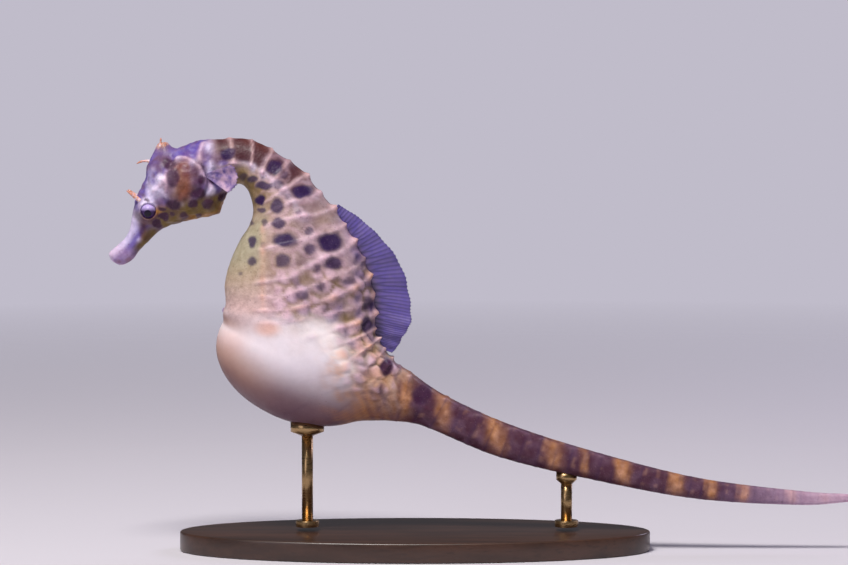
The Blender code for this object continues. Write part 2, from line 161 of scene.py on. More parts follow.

# Patches of colour on the sides of the head: colour, x, z, half length, half height, turn, strength.
# The white patches are painted highlights on the swellings round the eye and on the forehead; the two
# behind the gill cover are partly the pale skin at the pectoral fin's root.
HEAD_PATCHES = (
    ("mauve", -79.0, 90.6, 6.0, 6.4, 0, 0.7), ("tan", -77.8, 91.8, 4.8, 6.4, -4, 0.75),
    ("mauve", -83.0, 99.8, 3.2, 4.4, 15, 1.0), ("umber", -83.2, 98.8, 2.6, 3.4, 15, 0.45),
    ("membrane", -76.2, 100.4, 4.6, 2.6, 9, 0.75), ("white", -86.4, 93.6, 1.5, 4.8, 10, 0.45),
    ("mauve", -69.0, 97.8, 3.6, 2.6, 0, 0.85),
    ("membrane", -67.4, 97.4, 1.7, 0.9, 0, 0.6), ("umber", -76.0, 89.4, 4.4, 2.6, 0, 0.5),
    ("rust", -77.0, 93.6, 2.7, 6.8, -6, 0.9), ("rust", -79.0, 96.6, 2.2, 1.4, 15, 0.6),
    ("umber", -73.8, 92.2, 1.7, 5.0, 0, 0.75), ("umber", -74.6, 95.4, 1.9, 3.2, -20, 0.65),
    ("umber", -73.6, 98.0, 1.0, 2.8, -22, 0.7),
    ("white", -71.2, 94.9, 2.0, 1.6, 0, 0.9), ("white", -70.8, 90.6, 1.4, 1.6, 0, 0.95),
    ("white", -83.2, 93.6, 1.6, 1.6, 0, 0.95), ("white", -84.6, 90.4, 2.6, 2.0, 20, 0.9),
    ("white", -86.3, 87.3, 2.5, 1.9, 10, 1.0), ("ridge", -81.8, 93.6, 0.8, 3.0, 0, 0.6),
    ("shade", -83.6, 87.6, 1.4, 1.6, 0, 0.7), ("umber", -87.8, 80.8, 1.2, 4.4, 8, 1.0),
    ("umber", -87.2, 83.2, 2.8, 1.5, 0, 0.65),
)

# Ochre bands of the tail: x of the middle and half length.
TAIL_BANDS = ((-22.5, 1.8), (-13.0, 2.3), (0.3, 2.9), (14.8, 2.5), (22.3, 1.1), (32.0, 2.2), (45.2, 2.3),
              (54.2, 1.7), (62.4, 1.8), (74.4, 1.6), (82.6, 1.4), (90.0, 1.2))

# Dark spots of the skin: x, z, half length, half height, how dark.
HEAD_SPOTS = (
    (-79.9, 93.8, 1.5, 2.2, 0.75), (-81.2, 97.4, 1.5, 1.3, 0.8), (-79.9, 87.3, 1.8, 1.1, 1.0),
    (-75.1, 87.5, 1.2, 1.0, 1.0), (-71.6, 87.4, 1.2, 1.1, 0.8), (-73.8, 90.0, 1.7, 1.2, 0.9),
    (-73.0, 93.1, 1.0, 1.0, 0.8), (-82.6, 84.2, 1.2, 0.8, 1.0), (-82.9, 86.0, 1.0, 0.6, 0.9),
    (-84.3, 82.3, 1.0, 1.0, 1.0), (-77.5, 84.4, 1.0, 1.1, 0.8), (-80.3, 84.8, 0.6, 0.5, 0.6),
    (-86.5, 88.1, 0.7, 0.4, 0.7), (-73.8, 84.4, 0.9, 0.7, 0.7), (-67.9, 89.0, 0.9, 1.1, 1.0),
    (-70.0, 93.2, 1.0, 0.9, 0.8),
)
NECK_SPOTS = (
    (-66.6, 99.6, 1.7, 1.3, 0.9), (-54.9, 96.4, 1.9, 1.7, 0.85), (-52.6, 94.4, 0.9, 1.0, 0.5),
    (-47.9, 90.4, 2.3, 1.6, 1.0), (-62.8, 94.0, 1.0, 1.0, 0.6), (-60.2, 93.4, 1.3, 1.0, 0.8),
    (-57.4, 91.8, 1.9, 0.9, 0.9), (-54.0, 92.0, 1.2, 0.9, 0.6), (-51.4, 89.2, 1.0, 0.8, 0.5),
    (-58.4, 88.2, 1.3, 1.1, 1.0), (-57.9, 85.6, 1.1, 0.7, 0.8), (-54.0, 86.9, 1.5, 1.7, 0.9),
)
TRUNK_SPOTS = (
    (-53.9, 82.7, 1.5, 1.4, 0.9), (-60.3, 78.0, 1.0, 1.4, 0.9), (-60.3, 73.2, 1.1, 1.0, 0.8),
    (-63.5, 70.1, 0.6, 0.6, 0.5), (-57.4, 77.4, 0.7, 0.7, 0.4), (-60.8, 82.8, 0.7, 0.7, 0.7),
    (-57.3, 82.8, 0.9, 0.8, 0.7), (-48.9, 85.4, 0.7, 0.7, 0.6), (-52.3, 78.6, 2.8, 1.7, 1.0),
    (-52.7, 73.5, 1.8, 1.7, 0.8), (-46.3, 80.5, 0.9, 0.9, 0.7), (-46.0, 76.5, 1.4, 1.2, 0.8),
    (-41.0, 78.0, 2.8, 2.4, 1.0), (-44.1, 71.5, 1.1, 1.2, 0.7), (-40.5, 72.7, 2.0, 1.5, 0.9),
    (-43.3, 67.2, 1.1, 1.0, 0.6), (-48.1, 65.0, 1.5, 1.2, 0.6), (-42.3, 62.0, 1.1, 1.0, 0.3),
    (-36.3, 68.4, 1.4, 1.1, 0.5), (-34.0, 73.2, 1.5, 1.3, 0.6), (-32.0, 62.3, 1.2, 1.6, 0.8),
    (-32.4, 57.4, 1.4, 1.6, 0.9), (-27.4, 46.6, 1.4, 2.0, 1.0), (-18.3, 39.5, 2.2, 2.0, 0.8),
)

# Spines and threads of skin: root (x, y, z), tip, root radius, tip radius, bow upwards.
EYE_SPINE = ((-87.4, 2.2, 86.8), (-91.8, 2.6, 90.5), 0.85, 0.2, 0.25)
FOREHEAD_THREAD = ((-84.6, 0, 97.0), (-89.5, 0, 97.1), 0.6, 0.14, 0.75)
THREAD_CUTS = 14                 # places at which a thread is cut across, to bow it
# Points of the coronet: x, y and z of the place where each leaves the skin, and its height.
CORONET_POINTS = ((-83.5, -0.35, 101.4, 2.2), (-83.7, 0.9, 101.0, 1.3),
                  (-82.3, -0.8, 101.0, 1.5), (-81.7, 0.5, 101.0, 1.0))

FIN_SPAN = ("chest", "pouch middle")
ANAL_RAYS = 4
RAY_WIDTH, RAY_FORK = 0.16, 0.25   # shares of the gap between two rays
DORSAL_REACH, DORSAL_RISE, DORSAL_FALL = 9.0, 55.0, 22.0   # mm, and degrees at its two ends
PECTORAL_ROOT = (-72.6, 6.0, 94.6)
PECTORAL_REACH, PECTORAL_RISE, PECTORAL_FAN = 8.8, 20.0, 55.0   # mm, and degrees
ANAL_REACH = 0.5

# The stand: the step round the base (in, down), the sizes of a collar and of a cup, in millimetres.
BASE_STEP = (1.6, 1.0)
COLLAR_TALL, COLLAR_STEP = 1.6, 0.7
CUP_TALL, CUP_STEP, CUP_RINGS = 0.9, 0.5, 8
ROD_IN_CUP, CUP_IN_SKIN = 0.4, 0.02

# Lamps: name, place in metres, width in metres, watts, colour.
LAMPS = (("top_lamp", (-0.2, -0.4, 0.84), 0.3, 8.8, "#fffaf6"),
         ("front_lamp", (-0.7, -0.9, 0.45), 0.6, 1.6, "#f4f0ff"),
         ("back_lamp", (0.55, 0.5, 0.5), 0.4, 1.8, "#e6e0ff"))
LAMP_AIM = (-35, 0, 60)
GLOW, GLOW_STRENGTH = "#eeeaf6", 0.12
CAMERA_AIM, VIEW_WIDTH, SENSOR = (-17.75, 0, 67.4), 212.0, 36.0
FLOOR_FADE = (0.85, 0.25)        # metres from the model at which the floor is clear, and solid


def linear(code):
    """An sRGB hex colour as the linear numbers that a shader takes."""
    parts = (int(code[k:k + 2], 16) / 255 for k in (1, 3, 5))
    return tuple(part / 12.92 if part <= 0.04045 else ((part + 0.055) / 1.055) ** 2.4 for part in parts)


def length(name, description, millimetres):
    """A setting in the scene's metres, from a size in millimetres."""
    return FloatProperty(name=name, description=description, default=millimetres * MM, unit="LENGTH")


def whole_number(name, description, number):
    """A setting that counts things."""
    return IntProperty(name=name, description=description, default=number, min=2)


def colour(name, description, code):
    """A setting for a colour, from an sRGB hex code."""
    return FloatVectorProperty(name=name, description=description, default=linear(code), size=3,
                               subtype="COLOR", min=0, max=1)


class SeahorseSizes(bpy.types.PropertyGroup):
    """Sizes that a user would change."""
    ring_ridge: length("Ring ridge", "How far the edge of a ring of armour stands out", 0.42)
    tubercle: length("Tubercle", "How far a knob stands out where a ring meets a ridge", 1.15)
    grain: length("Skin grain", "Width of one grain of the skin, drawn coarse enough to show", 0.5)
    pupil: length("Pupil", "Radius of the pupil", 0.88)
    fin_membrane: length("Fin membrane", "Thickness of a fin between its rays", 0.16)
    fin_ray: length("Fin ray", "How far a fin's ray stands out from the membrane", 0.08)
    dorsal_rays: whole_number("Dorsal rays", "Rays in the dorsal fin", 27)
    pectoral_rays: whole_number("Pectoral rays", "Rays in a pectoral fin", 16)
    rod: length("Rod", "Radius of a rod of the stand", (ROD_BOX[1].x - ROD_BOX[0].x) / 2 / MM)
    camera_distance: length("Camera distance", "From the camera to the animal's middle plane", 1000)
    camera_rise: FloatProperty(name="Camera rise", description="Angle at which the camera looks down",
                               default=math.radians(4), subtype="ANGLE")


class SeahorseColours(bpy.types.PropertyGroup):
    """Colours that a user would change."""
    cream: colour("Cream", "Ground colour of the trunk", "#d1b7ae")
    tan: colour("Tan", "Hollows between the rings of the trunk", "#967a62")
    belly: colour("Belly", "Smooth plates of the belly", "#b3aa92")
    pouch: colour("Pouch", "Stretched skin of the brood pouch", "#fbf2f6")
    blush: colour("Blush", "Warm front and patches of the pouch", "#eda67c")
    # Shade: painted shade on the underside of the pouch, over skin that is browner there; also a patch on
    # the head and the root of the dorsal fin.
    shade: colour("Shade", "Underside of the pouch", "#7f5f68")
    mauve: colour("Mauve", "Coronet and cheeks", "#7d6078")
    # Lavender also paints a faint band where the painted shade under the pouch begins.
    lavender: colour("Lavender", "Forehead, snout and nape", "#7160a8")
    # White is the painted highlight on the head's swellings and knobs, in a row below the nape's panels and
    # along the flank ridge; it is also pale skin on the snout, behind the gill covers, at the pectoral
    # fins' roots and at the threads' roots.
    white: colour("White", "Lit swellings over the eye and on the cheek", "#efe4ff")
    # Olive is also painted shade between the knobs of the rear flank.
    olive: colour("Olive", "Jaw, cheek and throat", "#7a642c")
    rust: colour("Rust", "Gill covers", "#7e452a")
    mahogany: colour("Mahogany", "Panels of the nape", "#4e2830")
    # Umber is also the deepest painted shade under the pouch.
    umber: colour("Umber", "Ground colour of the tail", "#543042")
    # Ochre also warms the painted shade at the front of the pouch.
    ochre: colour("Ochre", "Bands of the tail and the pouch's heel", "#cf9050")
    ridge: colour("Ridge", "Pale edges of the rings", "#ecc8da")
    knob: colour("Knob", "Warm tips of the tubercles", "#f2ba96")
    spot: colour("Spot", "Dark round spots", "#29114c")
    membrane: colour("Membrane", "Skin of the fins", "#6554ac")
    ray: colour("Ray", "Rays of the fins", "#362b60")
    # The iris colour is also a painted highlight on the eye's upper half.
    iris: colour("Iris", "Pale upper part of the eye", "#c4b0ea")
    # The dark iris colour is also painted shade on the eye's lower half and on the skin round the lower
    # half of its socket.
    iris_dark: colour("Dark iris", "Lower part of the eye", "#321a52")
    pupil: colour("Pupil", "Dark part of the eye", "#130822")
    thread: colour("Thread", "Tips of the spines and threads of skin", "#c9866c")
    wood: colour("Wood", "Stained hardwood of the base", "#4a3024")
    brass: colour("Brass", "Rods and cups of the stand", "#b3946a")
    card: colour("Card", "Pale floor of the stage", "#d6d3db")
    wall: colour("Wall", "Room behind the floor", "#c0bcca")


def add_node(tree, kind, links=(), **settings):
    """Add a node, set its settings, and link or set each of its sockets."""
    made = tree.nodes.new(kind)
    for name, value in settings.items():
        setattr(made, name, value)
    for socket, source in dict(links).items():
        if isinstance(source, bpy.types.NodeSocket):
            tree.links.new(source, made.inputs[socket])
        else:
            made.inputs[socket].default_value = source
    return made


def new_material(name, **sockets):
    """A material with one Principled shader: returns it, its tree and its shader."""
    made = bpy.data.materials.new(name)
    made.use_nodes = True
    shader = made.node_tree.nodes["Principled BSDF"]
    for socket, value in sockets.items():
        shader.inputs[socket.replace("_", " ")].default_value = value
    return made, made.node_tree, shader


def feed(shader, socket, source):
    """Link a value or colour to one of a shader's sockets."""
    shader.id_data.links.new(source, shader.inputs[socket])


def bumped(tree, shader, height, strength, depth, **settings):
    """Small relief in a shader's normals, its depth in millimetres."""
    links = {"Strength": strength, "Distance": depth * MM, "Height": height}
    feed(shader, "Normal", add_node(tree, "ShaderNodeBump", links, **settings).outputs[0])


def rgba(value):
    """A colour with nothing clear about it."""
    return (*value, 1.0)


def mixed(tree, factor, *ends):
    """The colour part of the way from one to another: each is a socket or three numbers."""
    low, high = (end if isinstance(end, bpy.types.NodeSocket) else rgba(end) for end in ends)
    return add_node(tree, "ShaderNodeMix", {0: factor, 6: low, 7: high}, data_type="RGBA").outputs[2]


def ranged(tree, value, low, high, to_low=0.0, to_high=1.0):
    """A value mapped from one range to another and held inside it."""
    links = {0: value, 1: low, 2: high, 3: to_low, 4: to_high}
    return add_node(tree, "ShaderNodeMapRange", links).outputs[0]


def combined(tree, operation, one, other):
    """Two numbers put through one sum."""
    return add_node(tree, "ShaderNodeMath", {0: one, 1: other}, operation=operation).outputs[0]


def object_place(tree, stretch=None):
    """Object coordinates, drawn out along some axes if a stretch is given."""
    place = add_node(tree, "ShaderNodeTexCoord").outputs["Object"]
    if stretch:
        place = add_node(tree, "ShaderNodeMapping", {"Vector": place, "Scale": stretch}).outputs[0]
    return place


def vector_length(tree, vector):
    """How long a vector is."""
    return add_node(tree, "ShaderNodeVectorMath", {0: vector}, operation="LENGTH").outputs["Value"]


def attribute(tree, name, socket="Fac"):
    """A value that is stored on the mesh's points."""
    return add_node(tree, "ShaderNodeAttribute", attribute_name=name).outputs[socket]


def blotches(tree, place, width, detail=3.0):
    """Soft noise with blotches of a width in millimetres."""
    links = {"Vector": place, "Scale": 1 / (width * MM), "Detail": detail}
    return add_node(tree, "ShaderNodeTexNoise", links).outputs["Fac"]


def cells(tree, place, width, **settings):
    """Distance from the nearest of many scattered points, a width in metres apart."""
    links = {"Vector": place, "Scale": 1 / width}
    return add_node(tree, "ShaderNodeTexVoronoi", links, **settings).outputs["Distance"]


def seahorse_skin_material(sizes, colours):
    """Moist scaleless skin, stretched over bony rings.

    Thin skin over bone is satin, with a soft glow where light goes in. Fine grains break up its
    shine, clouds of pigment and freckles break up its colours, and the stretched pouch is smoother.
    """
    made, tree, shader = new_material("moist_seahorse_skin", Roughness=0.5, Specular_IOR_Level=0.3,
                                      Subsurface_Weight=0.12, Subsurface_Scale=0.6 * MM,
                                      Coat_Weight=0.06, Coat_Roughness=0.25)
    shader.inputs["Subsurface Radius"].default_value = (1.0, 0.6, 0.5)
    place = object_place(tree)
    tint = attribute(tree, "tint", "Color")
    stretched, pigment = attribute(tree, "smooth"), attribute(tree, "pigment")
    rough = ranged(tree, stretched, 0, 1, 0.6, 0.1)
    cloud = ranged(tree, blotches(tree, place, 1.6, 4), 0.38, 0.66)
    links = {"Saturation": 1.25, "Value": 0.68, "Color": tint}
    dark = add_node(tree, "ShaderNodeHueSaturation", links).outputs[0]
    tint = mixed(tree, combined(tree, "MULTIPLY", cloud, rough), tint, dark)
    dots = ranged(tree, cells(tree, place, 1.1 * MM), 0.26, 0.1)
    dots = combined(tree, "MULTIPLY", dots, ranged(tree, blotches(tree, place, 5.0), 0.48, 0.62))
    tint = mixed(tree, combined(tree, "MULTIPLY", dots, pigment), tint, colours.mahogany)
    pale = ranged(tree, cells(tree, place, 0.7 * MM), 0.2, 0.05, 0, 0.35)
    pale = combined(tree, "MULTIPLY", pale, pigment)
    feed(shader, "Base Color", mixed(tree, pale, tint, colours.ridge))
    feed(shader, "Roughness", ranged(tree, blotches(tree, place, 2.0), 0.3, 0.7, 0.42, 0.58))
    grains = cells(tree, place, sizes.grain, feature="SMOOTH_F1")
    bumped(tree, shader, combined(tree, "SUBTRACT", grains, blotches(tree, place, 0.8, 4)), rough, 0.13)
    return made


def fin_material(name, membrane, mottled, root, ray):
    """Fin membrane: skin so thin that light comes through it, over finer, darker rays."""
    made, tree, shader = new_material(name, Roughness=0.4, Alpha=0.78, Specular_IOR_Level=0.3)
    mottle = blotches(tree, object_place(tree), 1.8)
    tint = mixed(tree, ranged(tree, mottle, 0.35, 0.65), membrane, mottled)
    for mask, over in (("root", root), ("ray", ray), ("rim", ray)):
        tint = mixed(tree, attribute(tree, mask), tint, over)
    feed(shader, "Base Color", tint)
    bumped(tree, shader, mottle, 0.25, 0.05)
    return made


def curve_through(places):
    """The landmarks' five sizes on a smooth curve, at places along the body."""
    last = len(NAMES) - 1
    low = np.clip(places.astype(int), 0, last - 1)
    at = (places - low)[:, None]
    before, start, end, after = (TABLE[np.clip(low + k, 0, last)] for k in (-1, 0, 1, 2))
    return 0.5 * (2 * start + (end - before) * at
                  + (2 * before - 5 * start + 4 * end - after) * at ** 2
                  + (3 * start - before - 3 * end + after) * at ** 3)


def place_of(name):
    """A landmark's place along the body."""
    return float(NAMES.index(name))


def sections(places):
    """Middles, directions to the back, half depths, half widths and squareness of sections."""
    rows = curve_through(places)
    back = np.stack([rows[:, 0], 0 * places, rows[:, 1]], 1)
    belly = np.stack([rows[:, 2], 0 * places, rows[:, 3]], 1)
    depth = np.linalg.norm(back - belly, axis=1) / 2
    to_back = (back - belly) / (2 * depth[:, None])
    square = ROUND + (SQUARE - ROUND) * np.clip((places - place_of("pouch middle")) / 4, 0, 1)
    return (back + belly) / 2, to_back, depth, np.maximum(rows[:, 4], 0.3), square


def smooth(values, low, high):
    """0 below low, 1 above high, and an even ramp between."""
    at = np.clip((values - low) / (high - low), 0, 1)
    return at * at * (3 - 2 * at)


def hill(values, middle, width):
    """1 at the middle, falling away softly on both sides."""
    return np.exp(-((values - middle) / width) ** 2)


def skin_places():
    """Where the rows of the skin lie along the body: closer together where there is more to show."""
    fine = np.linspace(0, len(NAMES) - 1, FINE_STEPS)
    step = np.interp(fine, *np.array(ROW_STEPS).T)
    count = running(stretches(sections(fine)[0]) / step[1:])
    return np.interp(np.linspace(0, count[-1], int(count[-1])), count, fine)


def running(steps):
    """Running totals that start from 0."""
    return np.concatenate([[0], np.cumsum(steps)])


def stretches(points):
    """How far each point lies from the one before it."""
    return np.linalg.norm(np.diff(points, axis=0), axis=1)


def ring_numbers(places):
    """How many rings of armour lie before each place on the back. A whole number is a ring's edge."""
    fine = np.linspace(10, len(NAMES) - 1, FINE_STEPS)
    middle, to_back, depth, _, _ = sections(fine)
    steps = stretches(middle + to_back * depth[:, None])
    count = running(steps / np.interp(fine[1:], *RING_SPACING))
    count = count - np.interp(KNOWN_PLACE, fine, count) + KNOWN_RING
    tail = fine > VENT
    travel = running(stretches(middle[tail]))
    longest, taper = TAIL_RING_LENGTHS
    rings = running(np.diff(travel) / (longest - taper * travel[1:] / travel[-1]))
    count[tail] = np.interp(VENT, fine, count) + rings * TAIL_RINGS / rings[-1]
    return np.interp(places, fine, count)


def egg_level(points, egg):
    """Below 0 inside an egg that leans down to the rear, roughly in millimetres."""
    lean = math.radians(egg["lean"])
    away = points - np.array(egg["centre"])
    along = away[..., 0] * math.cos(lean) - away[..., 2] * math.sin(lean)
    across = away[..., 0] * math.sin(lean) + away[..., 2] * math.cos(lean)
    radii = egg["radii"]
    level = np.sqrt((along / radii[0]) ** 2 + (away[..., 1] / radii[1]) ** 2 + (across / radii[2]) ** 2)
    return (level - 1) * min(radii[1:])


def melt(one, other, width):
    """The lower of two levels, rounded where they meet."""
    near = np.maximum(width - np.abs(one - other), 0) / width
    return np.minimum(one, other) - near * near * width / 4


def eggs_level(points):
    """Below 0 inside the pouch or its heel, which melt into each other."""
    return melt(egg_level(points, POUCH), egg_level(points, HEEL), EGG_FILLET)


def swell(middle, spoke, lift, fillet):
    """How far out along each spoke the body and its pouch reach, as a share of the spoke."""
    size = np.linalg.norm(spoke, axis=-1)
    start, reach, steps, halvings = 0.9, 30.0, 90, 14

    def level(share):
        points = middle + spoke * share[..., None]
        return melt((share - 1) * size, eggs_level(points) + POUCH_BACK_CLEARANCE * lift, fillet)

    inner = np.full(size.shape, start)
    for k in range(steps + 1):
        share = start + reach / size * k / steps
        inner = np.where(level(share) < 0, share, inner)
    outer = inner + reach / size / steps
    for _ in range(halvings):
        half = (inner + outer) / 2
        inside = level(half) < 0
        inner, outer = np.where(inside, half, inner), np.where(inside, outer, half)
    return inner


def cloudy(points, width, seed=0.0):
    """Smooth noise from -1 to 1, with blotches of a width in millimetres."""
    flat = points.reshape(-1, 3) / width
    values = [noise.noise((x + seed, y - seed, z + 2 * seed)) for x, y, z in flat]
    return np.array(values).reshape(points.shape[:-1])


def pebbled(points, width):
    """Rounded, crowded knobs: 1 on top of each and 0 between them."""
    flat = points.reshape(-1, 3) / width
    near = np.array([noise.voronoi(place)[0][:2] for place in flat.tolist()])
    gap = np.clip((near[:, 1] - near[:, 0]) * 2.2, 0, 1)
    return np.sqrt(gap).reshape(points.shape[:-1])


def row_normals(points):
    """Outward directions on a grid whose columns close round."""
    around = np.roll(points, -1, axis=1) - np.roll(points, 1, axis=1)
    normal = np.cross(np.gradient(points, axis=0), around)
    return normal / np.maximum(np.linalg.norm(normal, axis=-1, keepdims=True), 1e-9)


def along_arc(points, start, middle, end):
    """Distance from an arc through three points (x, z), seen from the side."""
    best = np.full(points.shape[:-1], 1e9)
    for at in np.linspace(0, 1, 40):
        x, z = ((1 - at) ** 2 * a + 2 * at * (1 - at) * (2 * b - (a + c) / 2) + at ** 2 * c
                for a, b, c in zip(start, middle, end))
        best = np.minimum(best, np.hypot(points[..., 0] - x, points[..., 2] - z))
    return best


class SkinShape:
    """The skin's grid of points and the colours and masks that its material reads."""

    def __init__(self, sizes, colours):
        self.sizes, self.colours = sizes, colours
        self.places = skin_places()
        turn = 2 * np.pi * (np.arange(COLUMNS) + 0.5) / COLUMNS
        self.middle, self.to_back, self.depth, self.width, self.square = sections(self.places)
        flat = np.zeros((len(self.places), COLUMNS))
        self.place = self.places[:, None] + flat
        self.up, self.side = np.cos(turn) + flat, np.sin(turn) + flat
        self.beside = np.abs(self.side)
        self.angle = np.degrees(np.arccos(self.up))
        self.ridge = np.interp(self.place, *FLANK_RIDGE)
        self.plain = self.points = self.body()
        sag = np.interp(self.place, *RING_SAG) * np.clip(self.angle / 100, 0, 1) ** 1.1
        self.ring = ring_numbers(self.places)[:, None] - sag + RING_WANDER * cloudy(self.plain, 6.0, 31.0)
        self.edge = self.ring - np.round(self.ring)
        self.x, self.z = self.plain[..., 0], self.plain[..., 2]
        self.normal = row_normals(self.plain)
        self.pouch = self.find_pouch()
        self.tail = self.past(22.5, 25.5)
        self.shape_rings()
        self.shape_head()
        self.shape_eyes()
        self.shape_coronet()

    def past(self, low, high):
        """1 past a place along the body, 0 before it."""
        return smooth(self.place, low, high)

    def within(self, start, ramp_in, end, ramp_out):
        """1 between two places along the body, with a ramp inside each end."""
        return self.past(start, start + ramp_in) * (1 - self.past(end - ramp_out, end))

    def oval(self, x, z, long, tall, turn=0.0):
        """Distance from a place seen from the side, as a share of an ellipse's radii."""
        along, above = self.x - x, self.z - z
        c, s = math.cos(math.radians(turn)), math.sin(math.radians(turn))
        return np.hypot((along * c + above * s) / long, (above * c - along * s) / tall)

    def body(self):
        """The body's own sections, swollen out to the pouch."""
        power = self.square[:, None]
        reach = (np.abs(self.up) ** power + self.beside ** power) ** (-1 / power)
        spoke = (self.to_back[:, None] * (self.up * reach * self.depth[:, None])[..., None]
                 + np.array([0, 1, 0]) * (self.side * reach * self.width[:, None])[..., None])
        share = np.ones(self.place.shape)
        near = (self.places > place_of("middle trunk")) & (self.places < place_of("tail neck"))
        fillet = CREASE + (FILLET - CREASE) * self.beside[near]
        share[near] = swell(self.middle[near][:, None], spoke[near], np.maximum(self.up[near], 0), fillet)
        return self.middle[:, None] + spoke * share[..., None]

    def find_pouch(self):
        """1 on the pouch's stretched skin, 0 on the armour, with a soft, ragged edge."""
        mask = smooth(-eggs_level(self.plain) - 0.9 * cloudy(self.plain, 5.0, 3.0), -2.8, 0.2)
        rear = smooth(self.x + 0.35 * (self.z - 50), -33.5, -39.5)
        return mask * self.past(19.8, 21.6) * (1 - smooth(self.up, 0.1, 0.7)) * (0.25 + 0.75 * rear)

    def push(self, height):
        """Move the skin's points outwards by so many millimetres."""
        self.points = self.points + row_normals(self.points) * height[..., None]

    def shape_rings(self):
        """Rings, long ridges, a knob wherever they cross, and crowded knobs on the rear flank."""
        self.armour = self.past(10.3, 11.1) * (1 - 0.97 * self.pouch)
        size = np.clip(self.depth[:, None] / 7.0, 0.12, 1.0)
        trunk, low = 1 - self.tail, self.past(18.2, 19.2)
        worn = np.clip(0.75 + 0.35 * cloudy(self.plain, 3.5, 9.0), 0.3, 1.1)
        self.ring_line = np.exp(-np.abs(self.edge) / RING_EDGE) * worn
        belly = smooth(self.angle, 100, 135) * trunk
        height = self.sizes.ring_ridge / MM * (self.ring_line - 0.15) * size
        height = height * (1 - 0.85 * belly) * (1 - 0.6 * self.tail)
        rows = (                                 # degrees from the back, how marked, how tall
            (13, trunk * (0.3 + 0.7 * self.past(13.5, 17.0)), 0.95),
            (self.ridge, trunk, 0.8),
            (43, trunk * low, 0.75),
            (116, trunk, 0.28),
            (88, trunk * low, 0.35),
            (40, self.tail * (1 - 0.75 * self.past(25.5, 27.5)), 0.8),
            (140, self.tail, 0.2),
        )
        self.knobs = 0 * self.place
        beat = 0.75 + 0.25 * np.cos(np.pi * np.round(self.ring))
        crossing = np.exp(-(self.edge / 0.2) ** 2)
        for at, share, tall in rows:
            height = height + 0.32 * tall * hill(self.angle, at, 8) * share * size
            knob = hill(self.angle, at, 7.5) * crossing * share * tall
            self.knobs = np.maximum(self.knobs, knob * beat)
        height = height + self.sizes.tubercle / MM * self.knobs * size
        stretched = self.pouch * (1 - 0.8 * smooth(self.x, -45.0, -37.0))
        flank = smooth(self.angle, 12, 30) * smooth(self.angle, 124, 104)
        self.pebbles = pebbled(self.plain, PEBBLE) * self.within(17.6, 1.6, 25.6, 1.4)
        self.pebbles = self.pebbles * flank * (1 - stretched)
        lumps = 0.55 * self.pebbles + 0.09 * cloudy(self.plain, 1.5, 6.0) * self.armour
        self.push(height * (1 - 0.4 * self.pebbles) * self.armour + lumps * size)
        self.push(0.16 * cloudy(self.plain, 9.0, 8.0) * self.pouch)

    def shape_head(self):
        """Gill covers with their slits, raised lines, the edge of the skull, hollows and knobs."""
        head = 1 - self.past(10.4, 11.2)
        self.flank = smooth(self.beside, 0.25, 0.6) * head
        cover = self.oval(*GILL_COVER)
        dome = np.sqrt(np.clip(1 - cover ** 2, 0, 1))
        self.slit = hill(cover, 1.08, 0.09) * smooth(self.x, -76.0, -72.5) * smooth(self.z, 88.0, 91.0)
        fan = np.cos(15 * np.arctan2(self.z - 86.0, self.x + 80.5))
        height = 0.95 * dome - 0.6 * self.slit + 0.13 * fan * smooth(dome, 0.1, 0.6)
        self.arcs = {name: along_arc(self.plain, *points) for name, (*points, _, _) in HEAD_ARCS.items()}
        for name, (*_, tall, width) in HEAD_ARCS.items():
            height = height + tall * hill(self.arcs[name], 0, width)
        crest = self.oval(-76.6, 100.5, 3.8, 1.7, 9)
        behind_crown = self.oval(-80.6, 99.0, 0.9, 2.4, 35)
        height = height - 0.55 * hill(crest, 0, 0.9) - 0.5 * hill(behind_crown, 0, 1.0)
        self.tips = 0 * self.place
        for x, z, radius, tall in HEAD_KNOBS:
            knob = tall * hill(np.hypot(self.x - x, self.z - z), 0, radius)
            self.tips = np.maximum(self.tips, 2 * knob)
            height = height + 1.25 * knob
        keel = hill(self.angle, 0, 16) * self.within(3.0, 2.0, 8.0, 1.5)
        rough = 0.3 * cloudy(self.plain, 1.7, 2.0) + 0.12 * cloudy(self.plain, 0.8, 4.0)
        rough = rough * (0.3 + 0.7 * self.past(4.2, 6.5))
        self.push(height * self.flank + (0.25 * keel + rough) * head)

    def shape_eyes(self):
        """A turret of wrinkled skin round each eye, open where the eyeball shows."""
        x, y, z = np.moveaxis(self.points, -1, 0)
        away = np.hypot(x - EYE[0], z - EYE[2])
        at = (self.place < 8.5) & (self.beside > 0.35) & (away < 2 * TURRET_RIM)
        bearing = np.arctan2(z - EYE[2], x - EYE[0])
        tall = smooth(away, TURRET_FOOT, TURRET_RIM)
        wrinkle = 0.08 * np.cos(13 * bearing) * smooth(away, 2.0, 2.5) + 0.22 * hill(away, 2.15, 0.35)
        out = np.abs(y)
        level = out + (np.maximum(EYE[1] + TURRET_TALL, out) - out + wrinkle) * tall
        level = level + (EYE[1] + 0.3 - level) * smooth(away, 2.0, 1.65)
        self.points[..., 1] = np.where(at, np.sign(y) * level, y)
        self.eye_away = np.where(at, away, 9.0)

    def shape_coronet(self):
        """A low crown on top of the head, with a worn, knobbed rim round its peak."""
        x, y, z = np.moveaxis(self.points, -1, 0)
        slope = math.radians(CORONET_SLOPE)
        along = (x - CORONET[0]) * math.cos(slope) + (z - CORONET[1]) * math.sin(slope)
        along, across = along / CORONET_LENGTH, y / CORONET_WIDTH
        away, bearing = np.hypot(along, across), np.arctan2(across, along)
        top = (self.place > 7) & (self.place < 10) & (self.up > 0.2)
        rim = hill(away, 0.5, 0.22) * (0.25 + 0.3 * np.cos(5 * bearing))
        lift = np.where(top, CORONET_TALL * np.exp(-1.5 * away ** 2.2) + rim, 0)
        self.points[..., 2] += lift
        self.points[..., 0] -= 0.14 * lift
        self.crown = np.clip(lift / 2.0, 0, 1)

